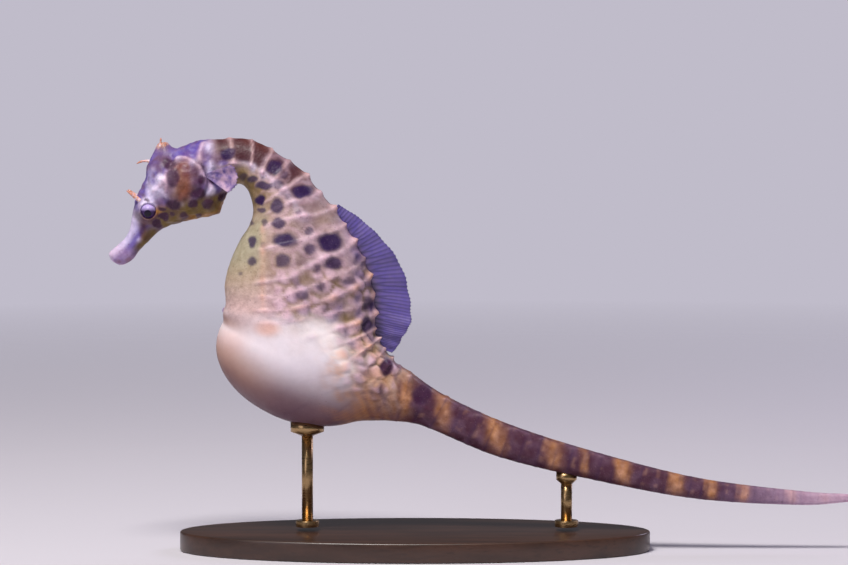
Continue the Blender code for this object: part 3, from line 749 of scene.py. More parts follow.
    def spots(self):
        """Round dark spots with ragged edges and pale rims, set differently on the right side."""
        wobble_x, wobble_z = (0.5 * cloudy(self.plain, 2.0, seed) for seed in (11.0, 17.0))
        right = self.plain[..., 1] >= 0
        made, self.halo = 0 * self.place, 0 * self.place
        for k, (x, z, half_length, half_height, dark) in enumerate(HEAD_SPOTS + NECK_SPOTS + TRUNK_SPOTS):
            along = self.x + wobble_x - x - right * 0.9 * math.sin(7.0 * k)
            above = self.z + wobble_z - z - right * 0.9 * math.cos(5.0 * k)
            away = np.hypot(along / half_length, above / half_height)
            made = np.maximum(made, dark * smooth(away, 1.35, 0.75))
            self.halo = np.maximum(self.halo, dark * hill(away, 1.6, 0.35))
        return made * smooth(self.beside, 0.05, 0.3)

    def layers(self):
        """Every layer of colour in the order it is laid on: a mask from 0 to 1 and a colour's name."""
        self.clouds = [0.5 + 0.5 * cloudy(self.plain, width, 20.0 + width) for width in CLOUD_WIDTHS]
        yield from self.trunk_layers()
        yield from self.head_layers()
        yield from self.pouch_layers()
        yield from self.tail_layers()
        yield from self.ridge_layers()
        spots = self.spots()
        yield 0.38 * self.halo * self.within(12.5, 1.5, 22.0, 1.5) * smooth(self.angle, 118, 100), "ridge"
        yield 0.95 * np.maximum(spots, 0.8 * self.slit * self.flank), "spot"
        yield 0.6 * spots * (1 - self.within(10.0, 1.0, 24.0, 1.0)), "mahogany"
        # Painted shade: the skin round the lower half of the eye and the lower wall of its turret are
        # darkened, going on from the painted shade on the eye's lower half. The skin there is partly dark
        # as well.
        yield 0.5 * hill(self.eye_away, 2.3, 0.7) * smooth(self.z, 86.0, 84.0), "iris_dark"
        yield smooth(self.eye_away, 1.95, 1.8) * smooth(self.z, 86.4, 85.4), "iris_dark"

    def trunk_layers(self):
        """Tan hollows between the rings, a pale belly, an olive throat, brown panels on the nape, a row of
        painted highlights below them and painted shade between the rear flank's knobs.
        """
        angle, edge, (_, small, wide, broad) = self.angle, np.abs(self.edge), self.clouds
        hollow = 1 - np.exp(-(edge / 0.1) ** 2)
        back = hollow * self.within(12.5, 3.5, 22.5, 2.5) * smooth(angle, 124, 106)
        yield back * (0.45 + 0.55 * wide), "tan"
        under = smooth(angle, 108, 124)
        yield under * self.within(14.5, 2.0, 21.5, 1.0), "belly"
        yield 0.4 * under * self.within(17.5, 2.0, 21.8, 0.8) * broad, "blush"
        yield 0.45 * smooth(angle, 80, 100) * self.within(18.2, 2.2, 21.8, 0.8), "ridge"
        yield smooth(angle, 88, 112) * self.within(10.2, 0.8, 16.6, 2.5) * (0.65 + 0.35 * small), "olive"
        yield 0.4 * self.within(9.8, 0.6, 22.0, 2.0) * smooth(angle, 115, 60) * broad, "lavender"
        nape = self.within(10.4, 0.8, 16.8, 2.5) * smooth(angle - self.ridge, 4, -8)
        panel = hollow * nape
        yield 0.45 * nape, "rust"
        yield 1.2 * panel * (0.8 + 0.3 * small), "mahogany"
        yield 0.3 * panel * smooth(angle, 60, 10) * smooth(wide, 0.4, 0.7), "rust"
        # Painted highlight: a row of white just off the flank ridge of the nape and neck.
        light = hill(angle, self.ridge + 4, 9) * hill(self.edge, 0.2, 0.22)
        yield 0.65 * self.within(12.2, 0.5, 16.0, 1.5) * light, "white"
        yield 0.6 * self.within(16.5, 1.5, 23.0, 1.5) * smooth(angle, 50, 18) * hollow * small, "lavender"
        seam = hill(self.x, -57.6, 0.7) * self.within(15.5, 1.5, 21.0, 1.0) * smooth(angle, 60, 80)
        yield 0.5 * seam * (0.4 + 0.6 * smooth(edge, 0.3, 0.1)), "knob"
        rear = self.within(18.0, 2.0, 25.0, 1.0) * smooth(angle, 116, 84)
        # Painted shade between the crowded knobs of the rear flank, in olive over the flank's own olive-tan
        # ground.
        yield 0.75 * rear * smooth(self.pebbles, 0.75, 0.2) * smooth(wide, 0.3, 0.6), "olive"
        yield 0.45 * rear * smooth(small, 0.45, 0.75), "lavender"
        fin_root = smooth(angle, 13, 5) * self.within(16.9, 0.6, 21.6, 0.8)
        yield 0.9 * fin_root * smooth(edge, 0.2, 0.34), "spot"

    def head_layers(self):
        """Lavender over brown cheeks, rust gill covers, an olive jaw, and painted highlights on the
        swellings and knobs.
        """
        fine, small, wide, _ = self.clouds
        head, behind_snout = 1 - self.past(10.0, 10.9), self.past(4.6, 6.0)
        snout = 1 - behind_snout
        sided = smooth(self.beside, 0.2, 0.5) * (1 - self.past(11.2, 12.0))
        yield head, "lavender"
        yield 0.65 * head * smooth(fine, 0.4, 0.7) * behind_snout, "mauve"
        for name, x, z, long, tall, turn, share in HEAD_PATCHES:
            away = self.oval(x, z, long, tall, turn) + 0.6 * (small - 0.5)
            yield share * smooth(away, 1.25, 0.3) * sided * (0.7 + 0.3 * fine), name
        yield 0.7 * snout * smooth(self.up, 0.0, 0.8), "white"
        yield 0.5 * (1 - self.past(1.8, 3.2)) * (0.5 + 0.5 * small), "ridge"
        yield 0.4 * (1 - self.past(1.6, 2.6)) * smooth(fine, 0.5, 0.7) * smooth(self.up, 0.2, -0.4), "rust"
        below = smooth(self.z - (86.6 + 0.24 * (self.x + 82.5)), 1.3, -1.0) * self.past(4.6, 5.6)
        jaw = np.maximum(below, snout * smooth(self.up, -0.05, -0.6) * self.past(2.0, 3.5)) * head
        yield jaw * (0.85 + 0.15 * fine), "olive"
        yield 0.55 * jaw * smooth(wide, 0.5, 0.75), "ochre"
        yield 0.45 * jaw * smooth(small, 0.5, 0.3), "umber"
        for name, share, width in (("arch", 0.55, 0.6), ("brow", 0.5, 0.6), ("collar", 0.6, 0.8)):
            yield share * hill(self.arcs[name], 0, width) * self.flank, "ridge"
        # Painted highlight: the tips of the head's knobs are painted white.
        yield 0.6 * np.clip(self.tips, 0, 1) * self.flank * (1 - 0.7 * jaw), "white"
        yield 0.9 * self.crown * (0.7 + 0.3 * fine), "mauve"
        yield 0.4 * self.crown * smooth(small, 0.4, 0.7), "tan"
        yield 0.6 * smooth(self.crown, 0.9, 1.05), "knob"

    def pouch_layers(self):
        """Taut pale skin with a warm front, painted shade underneath over skin that is browner there, and
        streaked with ochre at the heel.
        """
        x, z, (_, small, wide, broad) = self.x, self.z, self.clouds
        around = self.within(19.6, 1.2, 25.6, 1.2)
        yield self.pouch, "pouch"
        yield 0.3 * self.pouch * smooth(self.oval(-67.0, 53.0, 6.5, 5.0), 1.2, 0.2), "blush"
        yield 0.6 * self.beside * smooth(self.oval(-56.6, 56.8, 3.4, 2.0), 1.4, 0.3), "blush"
        # down: how far the skin faces down and forward, away from the light. The next four layers are
        # painted shade keyed to it: a faint lavender band where the shade begins, the shade colour, umber
        # on the deepest underside, and ochre that warms the shade at the front. The skin under the pouch is
        # also browner.
        down = -self.normal[..., 2] - 0.35 * self.normal[..., 0] + 0.06 * (broad - 0.5)
        yield 0.15 * self.pouch * hill(down, 0.15, 0.3), "lavender"
        yield 0.95 * around * smooth(down, -0.05, 0.65), "shade"
        yield 0.6 * around * smooth(down, 0.5, 1.0), "umber"
        yield 0.35 * self.pouch * smooth(x, -50.0, -66.0) * hill(down, 0.4, 0.35), "ochre"
        heel = smooth(x, -40.0, -32.0) * smooth(z, 49.0, 41.0) * self.within(21, 1.0, 26.5, 1.3)
        streak = 0.5 + 0.5 * np.cos(2.6 * x + 0.9 * z + 4 * small)
        yield 0.9 * heel * (0.45 + 0.55 * streak * wide), "ochre"
        yield 0.6 * heel * (1 - streak) * smooth(small, 0.3, 0.7), "umber"
        warm = smooth(x, -46.0, -38.0) * smooth(z, 58.0, 48.0) * self.pouch * smooth(small, 0.35, 0.7)
        yield 0.5 * warm * (0.4 + 0.6 * streak), "ochre"

    def tail_layers(self):
        """Velvety brown, paler and pinker to the tip, with soft ochre bands that fade below as painted
        shade.
        """
        x, angle, (fine, small, _, _) = self.x, self.angle, self.clouds
        yield 0.75 * self.past(22.6, 24.6) * smooth(angle, 120, 70) * smooth(small, 0.25, 0.6), "umber"
        yield self.past(24.2, 25.6), "umber"
        yield 0.35 * self.tail * smooth(small, 0.45, 0.75), "mauve"
        far, banded = self.past(27.5, 29.0), self.past(24.3, 25.2)
        # Painted light: the bands are brightest on the tail's upper side and fade below, as if lit from
        # above; the beat of the rings and the clouds make them patchy.
        lit = 0.3 + 0.7 * smooth(angle, 145, 90)
        lit = lit * (0.74 + 0.26 * np.cos(2 * np.pi * self.ring)) * (0.3 + 0.7 * smooth(small, 0.2, 0.7))
        for middle, half in TAIL_BANDS:
            band = smooth(np.abs(x - middle + 1.6 * (small - 0.5)), half * 1.5, half * 0.1)
            yield (0.75 + 0.2 * far) * band * banded * lit, "ochre"
            yield (0.5 + 0.5 * far) * band ** 3 * banded * hill(angle, 85, 35) * fine, "knob"
        fleck = hill(self.edge, 0.25, 0.16) * smooth(fine, 0.45, 0.7) * smooth(angle, 140, 100)
        yield 0.18 * self.tail * fleck, "knob"
        yield 0.5 * smooth(x, 50.0, 90.0), "lavender"
        yield 0.7 * smooth(x, 55.0, 88.0), "ridge"

    def ridge_layers(self):
        """Pale edges of the rings and paler knobs, warm where they stand out most, and a painted highlight
        along the flank ridge.
        """
        angle, (fine, small, wide, _) = self.angle, self.clouds
        pale = self.ring_line * self.armour * smooth(angle, 122, 104) * (1 - self.tail)
        pale = 0.9 * pale * (0.45 + 0.55 * small) * (1 - 0.6 * self.within(10.5, 0.8, 16.5, 2.0))
        pale = np.clip(pale, 0, 1)
        yield pale * (1 - 0.55 * self.past(22.0, 24.0)), "ridge"
        yield 0.5 * self.ring_line * self.tail * (1 - self.past(29.5, 31.5)), "spot"
        # Painted highlight along the flank ridge of the neck and trunk.
        yield 0.5 * hill(angle, self.ridge, 6) * self.within(11.0, 1.0, 18.0, 2.0) * fine, "white"
        yield self.knobs * self.armour * (1 - 0.75 * self.tail), "ridge"
        yield 0.55 * smooth(self.pebbles, 0.55, 0.95), "ridge"
        warm = np.maximum(self.knobs * (1 - self.pouch), 0.6 * self.pebbles * smooth(self.z, 60.0, 50.0))
        yield 1.1 * warm * self.within(18.6, 1.5, 25.0, 1.0) * smooth(wide, 0.4, 0.65), "knob"
        yield 0.75 * hill(angle, 0, 20) * self.knobs * self.armour * (1 - 0.6 * self.tail), "knob"

    def paint(self):
        """The skin's colours, and the masks that tell its material how smooth and mottled it is."""
        tint = np.zeros((*self.place.shape, 3)) + np.array(self.colours.cream)
        for mask, name in self.layers():
            tint = tint + (np.array(getattr(self.colours, name)) - tint) * np.clip(mask, 0, 1)[..., None]
        opaque = np.ones((*self.place.shape, 1))
        pigment = 0.35 * (1 - self.pouch * smooth(self.z, 34.0, 44.0))
        return {"tint": np.concatenate([tint, opaque], -1), "smooth": self.pouch, "pigment": pigment}


def finished(piece, nodes, material):
    """Give a piece its material, hang it on the root body, and hide the solids that it replaces."""
    piece.data.materials.clear()
    piece.data.materials.append(material)
    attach(piece, "root")
    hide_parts(*nodes)


def add_masks(mesh, masks):
    """Store values on a mesh's points: one number each, or four for a colour."""
    for name, values in masks.items():
        values = np.asarray(values, dtype=np.float32)
        kind, field = ("FLOAT", "value") if values.ndim == 1 else ("FLOAT_COLOR", "color")
        mesh.attributes.new(name, kind, "POINT").data.foreach_set(field, values.ravel())


def grid_mesh(name, points, masks):
    """A smooth object from rows of points that close round, with a point that shuts each end."""
    rows, columns = points.shape[:2]
    ends = ((0, False), (rows - 1, True))
    flat = np.concatenate([points.reshape(-1, 3), *(points[row].mean(0)[None] for row, _ in ends)])
    i, j = np.meshgrid(np.arange(rows - 1), np.arange(columns), indexing="ij")
    k = (j + 1) % columns
    corners = (i * columns + j, i * columns + k, (i + 1) * columns + k, (i + 1) * columns + j)
    faces = np.stack(corners, -1).reshape(-1, 4).tolist()
    for hub, (row, flip) in enumerate(ends, rows * columns):
        hoop = list(range(row * columns, (row + 1) * columns))
        pairs = zip(hoop, hoop[1:] + hoop[:1])
        faces += [(hub, *(pair if flip else pair[::-1])) for pair in pairs]
    mesh = bpy.data.meshes.new(name)
    mesh.from_pydata([tuple(point) for point in flat * MM], [], faces)
    add_masks(mesh, {mask: np.concatenate([values.reshape(rows * columns, *values.shape[2:]),
                                           *(values[row].mean(0)[None] for row, _ in ends)])
                     for mask, values in masks.items()})
    face_outwards(mesh)
    piece = bpy.data.objects.new(name, mesh)
    bpy.context.scene.collection.objects.link(piece)
    return piece


def face_outwards(mesh):
    """Turn every face of a closed mesh outwards and shade it smooth."""
    made = bmesh.new()
    made.from_mesh(mesh)
    bmesh.ops.recalc_face_normals(made, faces=made.faces)
    made.to_mesh(mesh)
    made.free()
    mesh.shade_smooth()


def with_mouth(points, masks):
    """More rows that turn in at the lips, so that the mouth is a small open slit with painted shade inside
    it.
    """
    first, centre = points[0], points[0].mean(0)
    ends = sections(np.array([0.0, 0.6]))[0]
    inward = (ends[1] - ends[0]) / np.linalg.norm(ends[1] - ends[0])
    rows = [centre + (first - centre) * share + inward * deep for share, deep in MOUTH_ROWS]
    grown = {name: np.concatenate([np.repeat(values[:1], len(rows), 0), values])
             for name, values in masks.items()}
    # Painted shade: the rows inside the mouth are darkened.
    grown["tint"][:2, :, :3] *= 0.05
    grown["tint"][2, :, :3] *= 0.4
    return np.concatenate([np.array(rows), points]), grown


def choices(context):
    """The sizes and colours as the user has set them."""
    return context.scene.seahorse_sizes, context.scene.seahorse_colours


class SEAHORSE_OT_skin(bpy.types.Operator):
    """One skin over the whole body, with rings, ridges, knobs, gill covers and pouch"""
    bl_idname = "seahorse.skin"
    bl_label = "Skin"

    def execute(self, context):
        sizes, colours = choices(context)
        shape = SkinShape(sizes, colours)
        piece = grid_mesh("skin", *with_mouth(shape.points, shape.paint()))
        finished(piece, FLESH, seahorse_skin_material(sizes, colours))
        return {"FINISHED"}


def add_piece(name, primitive, **settings):
    """A named primitive with its place in its mesh, the only thing selected."""
    if bpy.context.object and bpy.context.object.mode != "OBJECT":
        bpy.ops.object.mode_set(mode="OBJECT")
    bpy.ops.object.select_all(action="DESELECT")
    primitive(**settings)
    piece = bpy.context.object
    piece.name = piece.data.name = name
    bpy.ops.object.transform_apply(location=True, rotation=True, scale=True)
    return piece


def apply_modifier(piece, kind, **settings):
    """Add a modifier to a piece, set it and apply it."""
    modifier = piece.modifiers.new(kind.title(), kind)
    for name, value in settings.items():
        setattr(modifier, name, value)
    bpy.context.view_layer.objects.active = piece
    bpy.ops.object.modifier_apply(modifier=modifier.name)


def eye_material(sizes, colours, side, centre):
    """An eyeball under a wet, clear cornea: streaked, dark round the pupil, with a painted highlight on its
    upper half and painted shade on its lower half, over an iris that is partly paler above and darker
    below.
    """
    made, tree, shader = new_material(f"wet_eyeball_{side}", Roughness=0.3, Coat_Weight=0.35,
                                      Coat_Roughness=0.04, IOR=1.376, Specular_IOR_Level=0.2)
    links = {0: object_place(tree), 1: centre}
    local = add_node(tree, "ShaderNodeVectorMath", links, operation="SUBTRACT").outputs[0]
    axes = add_node(tree, "ShaderNodeSeparateXYZ", {0: local}).outputs
    x, z = (combined(tree, "ADD", axes[axis], shift * MM) for axis, shift in zip("XZ", PUPIL_SHIFT))
    away = vector_length(tree, add_node(tree, "ShaderNodeCombineXYZ", {"X": x, "Z": z}).outputs[0])
    turn = add_node(tree, "ShaderNodeCombineXYZ", {"X": combined(tree, "ARCTAN2", z, x)}).outputs[0]
    links = {"Vector": turn, "Scale": 4.5, "Detail": 4}
    streak = add_node(tree, "ShaderNodeTexNoise", links).outputs["Fac"]
    # Painted highlight and shade: the iris goes from dark below to pale above, partly its own colours and
    # partly painted light from above.
    upper = ranged(tree, axes["Z"], -0.1 * MM, 1.0 * MM)
    tint = mixed(tree, upper, colours.iris_dark, colours.iris)
    tint = mixed(tree, ranged(tree, streak, 0.45, 0.75, 0, 0.35), tint, colours.mauve)
    tint = mixed(tree, ranged(tree, away, 1.9 * MM, 2.4 * MM, 0, 0.4), tint, colours.mauve)
    pupil = ranged(tree, away, sizes.pupil * 1.1, sizes.pupil * 0.92)
    feed(shader, "Base Color", mixed(tree, pupil, tint, colours.pupil))
    return made


class SEAHORSE_OT_eyes(bpy.types.Operator):
    """Two eyeballs, each with a cornea that bulges out of its turret"""
    bl_idname = "seahorse.eyes"
    bl_label = "Eyes"

    def execute(self, context):
        sizes, colours = choices(context)
        for sign, side in SIDES:
            centre = Vector((EYE[0], sign * EYE[1], EYE[2])) * MM
            piece = add_piece("eyeball_" + side, bpy.ops.mesh.primitive_uv_sphere_add, segments=64,
                              ring_count=40, radius=EYE_RADIUS * MM, location=centre,
                              rotation=(math.radians(90), 0, 0))
            for vertex in piece.data.vertices:
                away = vertex.co - centre
                share = Vector((away.x, 0, away.z)).length / (CORNEA_REACH * MM)
                if away.y * sign > 0:
                    vertex.co.y += sign * CORNEA_RISE * MM * max(0.0, 1 - share ** 2)
            piece.data.shade_smooth()
            finished(piece, ["eye_" + side], eye_material(sizes, colours, side, centre))
        return {"FINISHED"}


def thread_material(colours):
    """A thread of living skin: soft and moist, like the head at its root and orange at its tip."""
    made, tree, shader = new_material("moist_skin_thread", Roughness=0.4, Subsurface_Weight=0.2,
                                      Subsurface_Scale=0.5 * MM, Coat_Weight=0.15)
    mottle = blotches(tree, object_place(tree), 0.6)
    root = mixed(tree, ranged(tree, mottle, 0.4, 0.6), colours.white, colours.knob)
    feed(shader, "Base Color", mixed(tree, attribute(tree, "tip"), root, colours.thread))
    bumped(tree, shader, mottle, 0.4, 0.05)
    return made


def add_thread(name, root, tip, root_radius, tip_radius, bow):
    """A cone, cut into lengths in edit mode, then bowed upwards and rounded off at its tip."""
    root, tip = Vector(root) * MM, Vector(tip) * MM
    span = tip - root
    piece = add_piece(name, bpy.ops.mesh.primitive_cone_add, vertices=16, radius1=root_radius * MM,
                      radius2=tip_radius * MM, depth=span.length, location=(root + tip) / 2,
                      rotation=span.to_track_quat("Z", "Y").to_euler())
    bpy.ops.object.mode_set(mode="EDIT")
    for k in range(THREAD_CUTS):
        bpy.ops.mesh.select_all(action="SELECT")
        bpy.ops.mesh.bisect(plane_co=root.lerp(tip, (k + 0.6) / THREAD_CUTS), plane_no=span.normalized())
    bpy.ops.object.mode_set(mode="OBJECT")
    shares = []
    for vertex in piece.data.vertices:
        at = max(0.0, min(1.0, (vertex.co - root).dot(span) / span.length_squared))
        axis = root.lerp(tip, at)
        lumpy = 1 + 0.16 * math.sin(9 * at + 2 * root.y / MM)
        blunt = math.sqrt(max(0.1, 1 - (max(0, at - 0.9) / 0.1) ** 2))
        lift = Vector((0, 0, bow * MM * 4 * at * (1 - at)))
        vertex.co = axis + (vertex.co - axis) * lumpy * blunt + lift
        shares.append(min(1.0, max(0.0, at - 0.25) / 0.6))
    add_masks(piece.data, {"tip": shares})
    face_outwards(piece.data)
    return piece


class SEAHORSE_OT_threads(bpy.types.Operator):
    """The spines over the eyes, the thread on the forehead and the points of the coronet"""
    bl_idname = "seahorse.threads"
    bl_label = "Spines and threads"

    def execute(self, context):
        finish = thread_material(context.scene.seahorse_colours)
        for sign, side in SIDES:
            root, tip = (Vector((1, sign, 1)) * Vector(end) for end in EYE_SPINE[:2])
            piece = add_thread("eye_spine_thread_" + side, root, tip, *EYE_SPINE[2:])
            finished(piece, ["eye_spine_" + side], finish)
        piece = add_thread("forehead_skin_thread", *FOREHEAD_THREAD)
        finished(piece, ["forehead_thread"], finish)
        for k, (x, y, z, tall) in enumerate(CORONET_POINTS, 1):
            ends = (x, y, z - 1.0), (x + 0.15, y * 1.25, z + tall)
            finished(add_thread(f"coronet_point_{k}", *ends, 0.62, 0.14, 0), [], finish)
        return {"FINISHED"}


def fin_grid(name, point, rays, rows_per_ray, columns, sizes):
    """A fin from a grid primitive: laid out by point(u, v), corrugated by rays that fork, and thickened."""
    piece = add_piece(name, bpy.ops.mesh.primitive_grid_add, x_subdivisions=rays * rows_per_ray,
                      y_subdivisions=columns, size=1)
    mesh = piece.data
    u, v, _ = np.array([vertex.co for vertex in mesh.vertices]).T + 0.5
    beat = (u * rays) % 1.0 - 0.5
    fork = RAY_FORK * smooth(v, 0.05, 0.55)
    thin = RAY_WIDTH - 0.05 * smooth(v, 0.2, 0.6)
    ray = np.maximum(hill(beat, fork, thin), hill(beat, -fork, thin))
    ragged = 0.022 * (1 - ray) + 0.03 * np.sin(17 * u) * np.sin(41 * u)
    edge = v * (1 - ragged * smooth(v, 0.6, 1.0))
    for vertex, along, out in zip(mesh.vertices, u, edge):
        vertex.co = Vector(point(along, out)) * MM
    rim = 0.5 * smooth(v, 0.93, 1.0) * (1 - 0.6 * smooth(u, 0.1, 0.5))
    add_masks(mesh, {"ray": ray * (0.75 - 0.3 * v), "rim": rim, "root": 0.6 * smooth(v, 0.35, 0.0)})
    group = piece.vertex_groups.new(name="rays")
    thick = sizes.fin_membrane + 2 * sizes.fin_ray
    least = sizes.fin_membrane / thick
    for index, share in enumerate(ray):
        group.add([index], least + (1 - least) * share, "REPLACE")
    apply_modifier(piece, "SOLIDIFY", thickness=thick, offset=0, vertex_group=group.name)
    face_outwards(mesh)
    return piece


def dorsal_point(u, v):
    """u runs down the back and v out from it. The rays fan up, level and down, and ripple."""
    first, last = place_of(FIN_SPAN[0]), place_of(FIN_SPAN[1])
    middle, to_back, depth, _, _ = sections(np.array([first + (last - first) * u]))
    root = middle[0] + to_back[0] * (depth[0] - 0.8)
    lean = math.radians(DORSAL_RISE * (1 - u) ** 2.2 - DORSAL_FALL * u) + 0.08 * math.sin(9 * u) * v
    reach = DORSAL_REACH * math.sin(math.pi * (0.03 + 0.92 * u ** 1.2)) ** 0.8 + 1.15
    ripple = 0.75 * v * v * math.sin(5 * math.pi * u) + 0.2 * v * math.sin(17 * math.pi * u)
    return root + np.array([math.cos(lean), 0, math.sin(lean)]) * reach * v + np.array([0, ripple, 0])


class SEAHORSE_OT_dorsal_fin(bpy.types.Operator):
    """The fin on the back, a thin rippling membrane over its rays"""
    bl_idname = "seahorse.dorsal_fin"
    bl_label = "Dorsal fin"

    def execute(self, context):
        sizes, colours = choices(context)
        piece = fin_grid("dorsal_fin_membrane", dorsal_point, sizes.dorsal_rays, 12, 30, sizes)
        finish = fin_material("translucent_fin_skin", colours.membrane, colours.lavender, colours.shade,
                              colours.ray)
        finished(piece, ["dorsal_fin"], finish)
        return {"FINISHED"}


def pectoral_point(sign):
    """A fan behind the gill cover, spread downwards and swung a little out from the neck."""
    def point(u, v):
        turn = math.radians(PECTORAL_RISE - PECTORAL_FAN * u)
        reach = 0.4 + (PECTORAL_REACH - 0.4) * v * (0.86 + 0.14 * math.sin(math.pi * u))
        x, y, z = PECTORAL_ROOT
        y += 0.34 * reach * v + 0.15 * math.sin(5 * math.pi * u) * v - 0.7
        return x + reach * math.cos(turn), sign * y, z + reach * math.sin(turn)
    return point


def anal_point(u, v):
    """A tiny fan in the notch between the belly and the pouch."""
    first = place_of("lower trunk")
    middle, to_back, depth, _, _ = sections(np.array([first + 0.3 + 0.5 * u]))
    root = middle[0] - to_back[0] * (depth[0] - 0.2)
    return root + np.array([-1.0, 0, 0.1]) * (ANAL_REACH + 0.5) * v * (0.7 + 0.3 * math.sin(math.pi * u))


class SEAHORSE_OT_small_fins(bpy.types.Operator):
    """The two fans behind the gill covers and the tiny fin at the vent"""
    bl_idname = "seahorse.small_fins"
    bl_label = "Pectoral and anal fins"

    def execute(self, context):
        sizes, colours = choices(context)
        finish = fin_material("pale_translucent_fin_skin", colours.lavender, colours.ridge, colours.white,
                              colours.membrane)
        for sign, side in SIDES:
            piece = fin_grid("pectoral_fin_membrane_" + side, pectoral_point(sign), sizes.pectoral_rays,
                             10, 22, sizes)
            finished(piece, ["pectoral_fin_" + side], finish)
        piece = fin_grid("anal_fin_membrane", anal_point, ANAL_RAYS, 10, 10, sizes)
        finished(piece, ["anal_fin"], finish)
        return {"FINISHED"}


def wood_material(colours):
    """Dark stained hardwood under satin varnish: long pores and slow bands along the plank."""
    made, tree, shader = new_material("stained_hardwood", Roughness=0.38, Coat_Weight=0.35,
                                      Coat_Roughness=0.22)
    plank = object_place(tree, (0.12, 1.0, 1.0))
    bands, pores = blotches(tree, plank, 5.0, 4), blotches(tree, plank, 0.7, 2)
    dark = tuple(0.45 * part for part in colours.wood)
    tint = mixed(tree, ranged(tree, bands, 0.35, 0.65), dark, colours.wood)
    feed(shader, "Base Color", mixed(tree, ranged(tree, pores, 0.55, 0.7, 0, 0.7), tint, dark))
    bumped(tree, shader, pores, 0.2, 0.05, invert=True)
    return made


def brass_material(colours):
    """Satin brass: turned metal, with fine lines round it from the last polish."""
    made, tree, shader = new_material("satin_brass", Metallic=1.0, Roughness=0.3)
    grain = blotches(tree, object_place(tree, (0.1, 0.1, 1.0)), 0.3, 2)
    worn = tuple(0.82 * part for part in colours.brass)
    feed(shader, "Base Color", mixed(tree, grain, worn, colours.brass))
    feed(shader, "Roughness", ranged(tree, grain, 0.3, 0.7, 0.24, 0.36))
    return made


def round_edges(piece, width, angle):
    """Ease the edges of a piece that turn through more than an angle."""
    apply_modifier(piece, "BEVEL", width=width * MM, segments=3, limit_method="ANGLE",
                   angle_limit=math.radians(angle))


def add_cylinder(name, x, radius, low, high, vertices=64):
    """A cylinder that stands on the middle plane."""
    return add_piece(name, bpy.ops.mesh.primitive_cylinder_add, vertices=vertices, radius=radius,
                     depth=high - low, location=(x, 0, (low + high) / 2))


def edit_ends(piece, up):
    """Edit a piece with only its top selected, or its underside if up is -1."""
    bpy.ops.object.mode_set(mode="EDIT")
    bpy.ops.mesh.select_all(action="DESELECT")
    made = bmesh.from_edit_mesh(piece.data)
    for face in made.faces:
        face.select = up * face.normal.z > 0.9
    made.select_flush_mode()
    bmesh.update_edit_mesh(piece.data)


def step_faces(inwards, rise):
    """Inset the selected faces, and move them up or down."""
    bpy.ops.mesh.inset(thickness=inwards)
    bpy.ops.transform.translate(value=(0, 0, rise))


class SEAHORSE_OT_stand(bpy.types.Operator):
    """An oval hardwood base with a stepped edge, two brass rods and their cups"""
    bl_idname = "seahorse.stand"
    bl_label = "Display stand"

    def execute(self, context):
        sizes, colours = choices(context)
        wood, brass = wood_material(colours), brass_material(colours)
        low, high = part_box("stand_base")
        self.add_base(low, high, wood)
        for label in ("front", "rear"):
            self.add_rod(label, sizes.rod, high.z, brass)
        return {"FINISHED"}

    def add_base(self, low, high, wood):
        """An oval board with a step round its top."""
        middle, size = (low + high) / 2, high - low
        base = add_piece("base_plinth", bpy.ops.mesh.primitive_cylinder_add, vertices=160, radius=0.5,
                         depth=1, location=middle, scale=size)
        edit_ends(base, 1)
        inwards, down = BASE_STEP
        bpy.ops.mesh.inset(thickness=inwards * MM)
        bpy.ops.object.mode_set(mode="OBJECT")
        for vertex in base.data.vertices:
            across = math.hypot((vertex.co.x - middle.x) / size.x, (vertex.co.y - middle.y) / size.y)
            if vertex.co.z > middle.z and across > 0.497:
                vertex.co.z = high.z - down * MM
        round_edges(base, 0.5, 18)
        base.data.shade_smooth()
        bpy.ops.object.shade_smooth_by_angle(angle=math.radians(35))
        finished(base, ["stand_base"], wood)

    def add_rod(self, label, radius, floor, brass):
        """A rod that stands in a turned collar and ends in a shallow cup under the body."""
        rod_low, rod_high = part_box("stand_rod_" + label)
        cup_low, cup_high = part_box("stand_cup_" + label)
        x = (rod_low.x + rod_high.x) / 2
        rod = add_cylinder("rod_" + label, x, radius, floor, cup_low.z + ROD_IN_CUP * MM, 48)
        rod.data.shade_smooth()
        finished(rod, ["stand_rod_" + label], brass)
        collar = add_cylinder("rod_collar_" + label, x, radius * 2.1, floor, floor + COLLAR_TALL * MM)
        edit_ends(collar, 1)
        step_faces(radius * 0.5, COLLAR_STEP * MM)
        bpy.ops.object.mode_set(mode="OBJECT")
        round_edges(collar, 0.18, 20)
        collar.data.shade_smooth()
        finished(collar, [], brass)
        self.add_cup(label, x, cup_low, cup_high, radius, brass)

    def add_cup(self, label, x, low, high, radius, brass):
        """A cup turned from bar, dished to fit the underside of the skin."""
        reach = (high.x - low.x) / 2
        cup = add_cylinder("rod_cup_" + label, x, reach, low.z, low.z + CUP_TALL * MM)
        edit_ends(cup, -1)
        for share in (0.45, 0.42):
            step_faces((reach - radius) * share, -CUP_STEP * MM)
        edit_ends(cup, 1)
        for _ in range(CUP_RINGS):
            bpy.ops.mesh.inset(thickness=reach / (CUP_RINGS + 1))
        bpy.ops.object.mode_set(mode="OBJECT")
        skin = bpy.data.objects["skin"]
        for vertex in cup.data.vertices:
            if vertex.co.z > low.z + CUP_TALL * MM / 2:
                below = Vector((vertex.co.x, vertex.co.y, low.z - 20 * MM))
                hit, place, _, _ = skin.ray_cast(below, Vector((0, 0, 1)))
                if hit:
                    vertex.co.z = place.z - CUP_IN_SKIN * MM
        cup.data.shade_smooth()
        finished(cup, ["stand_cup_" + label], brass)


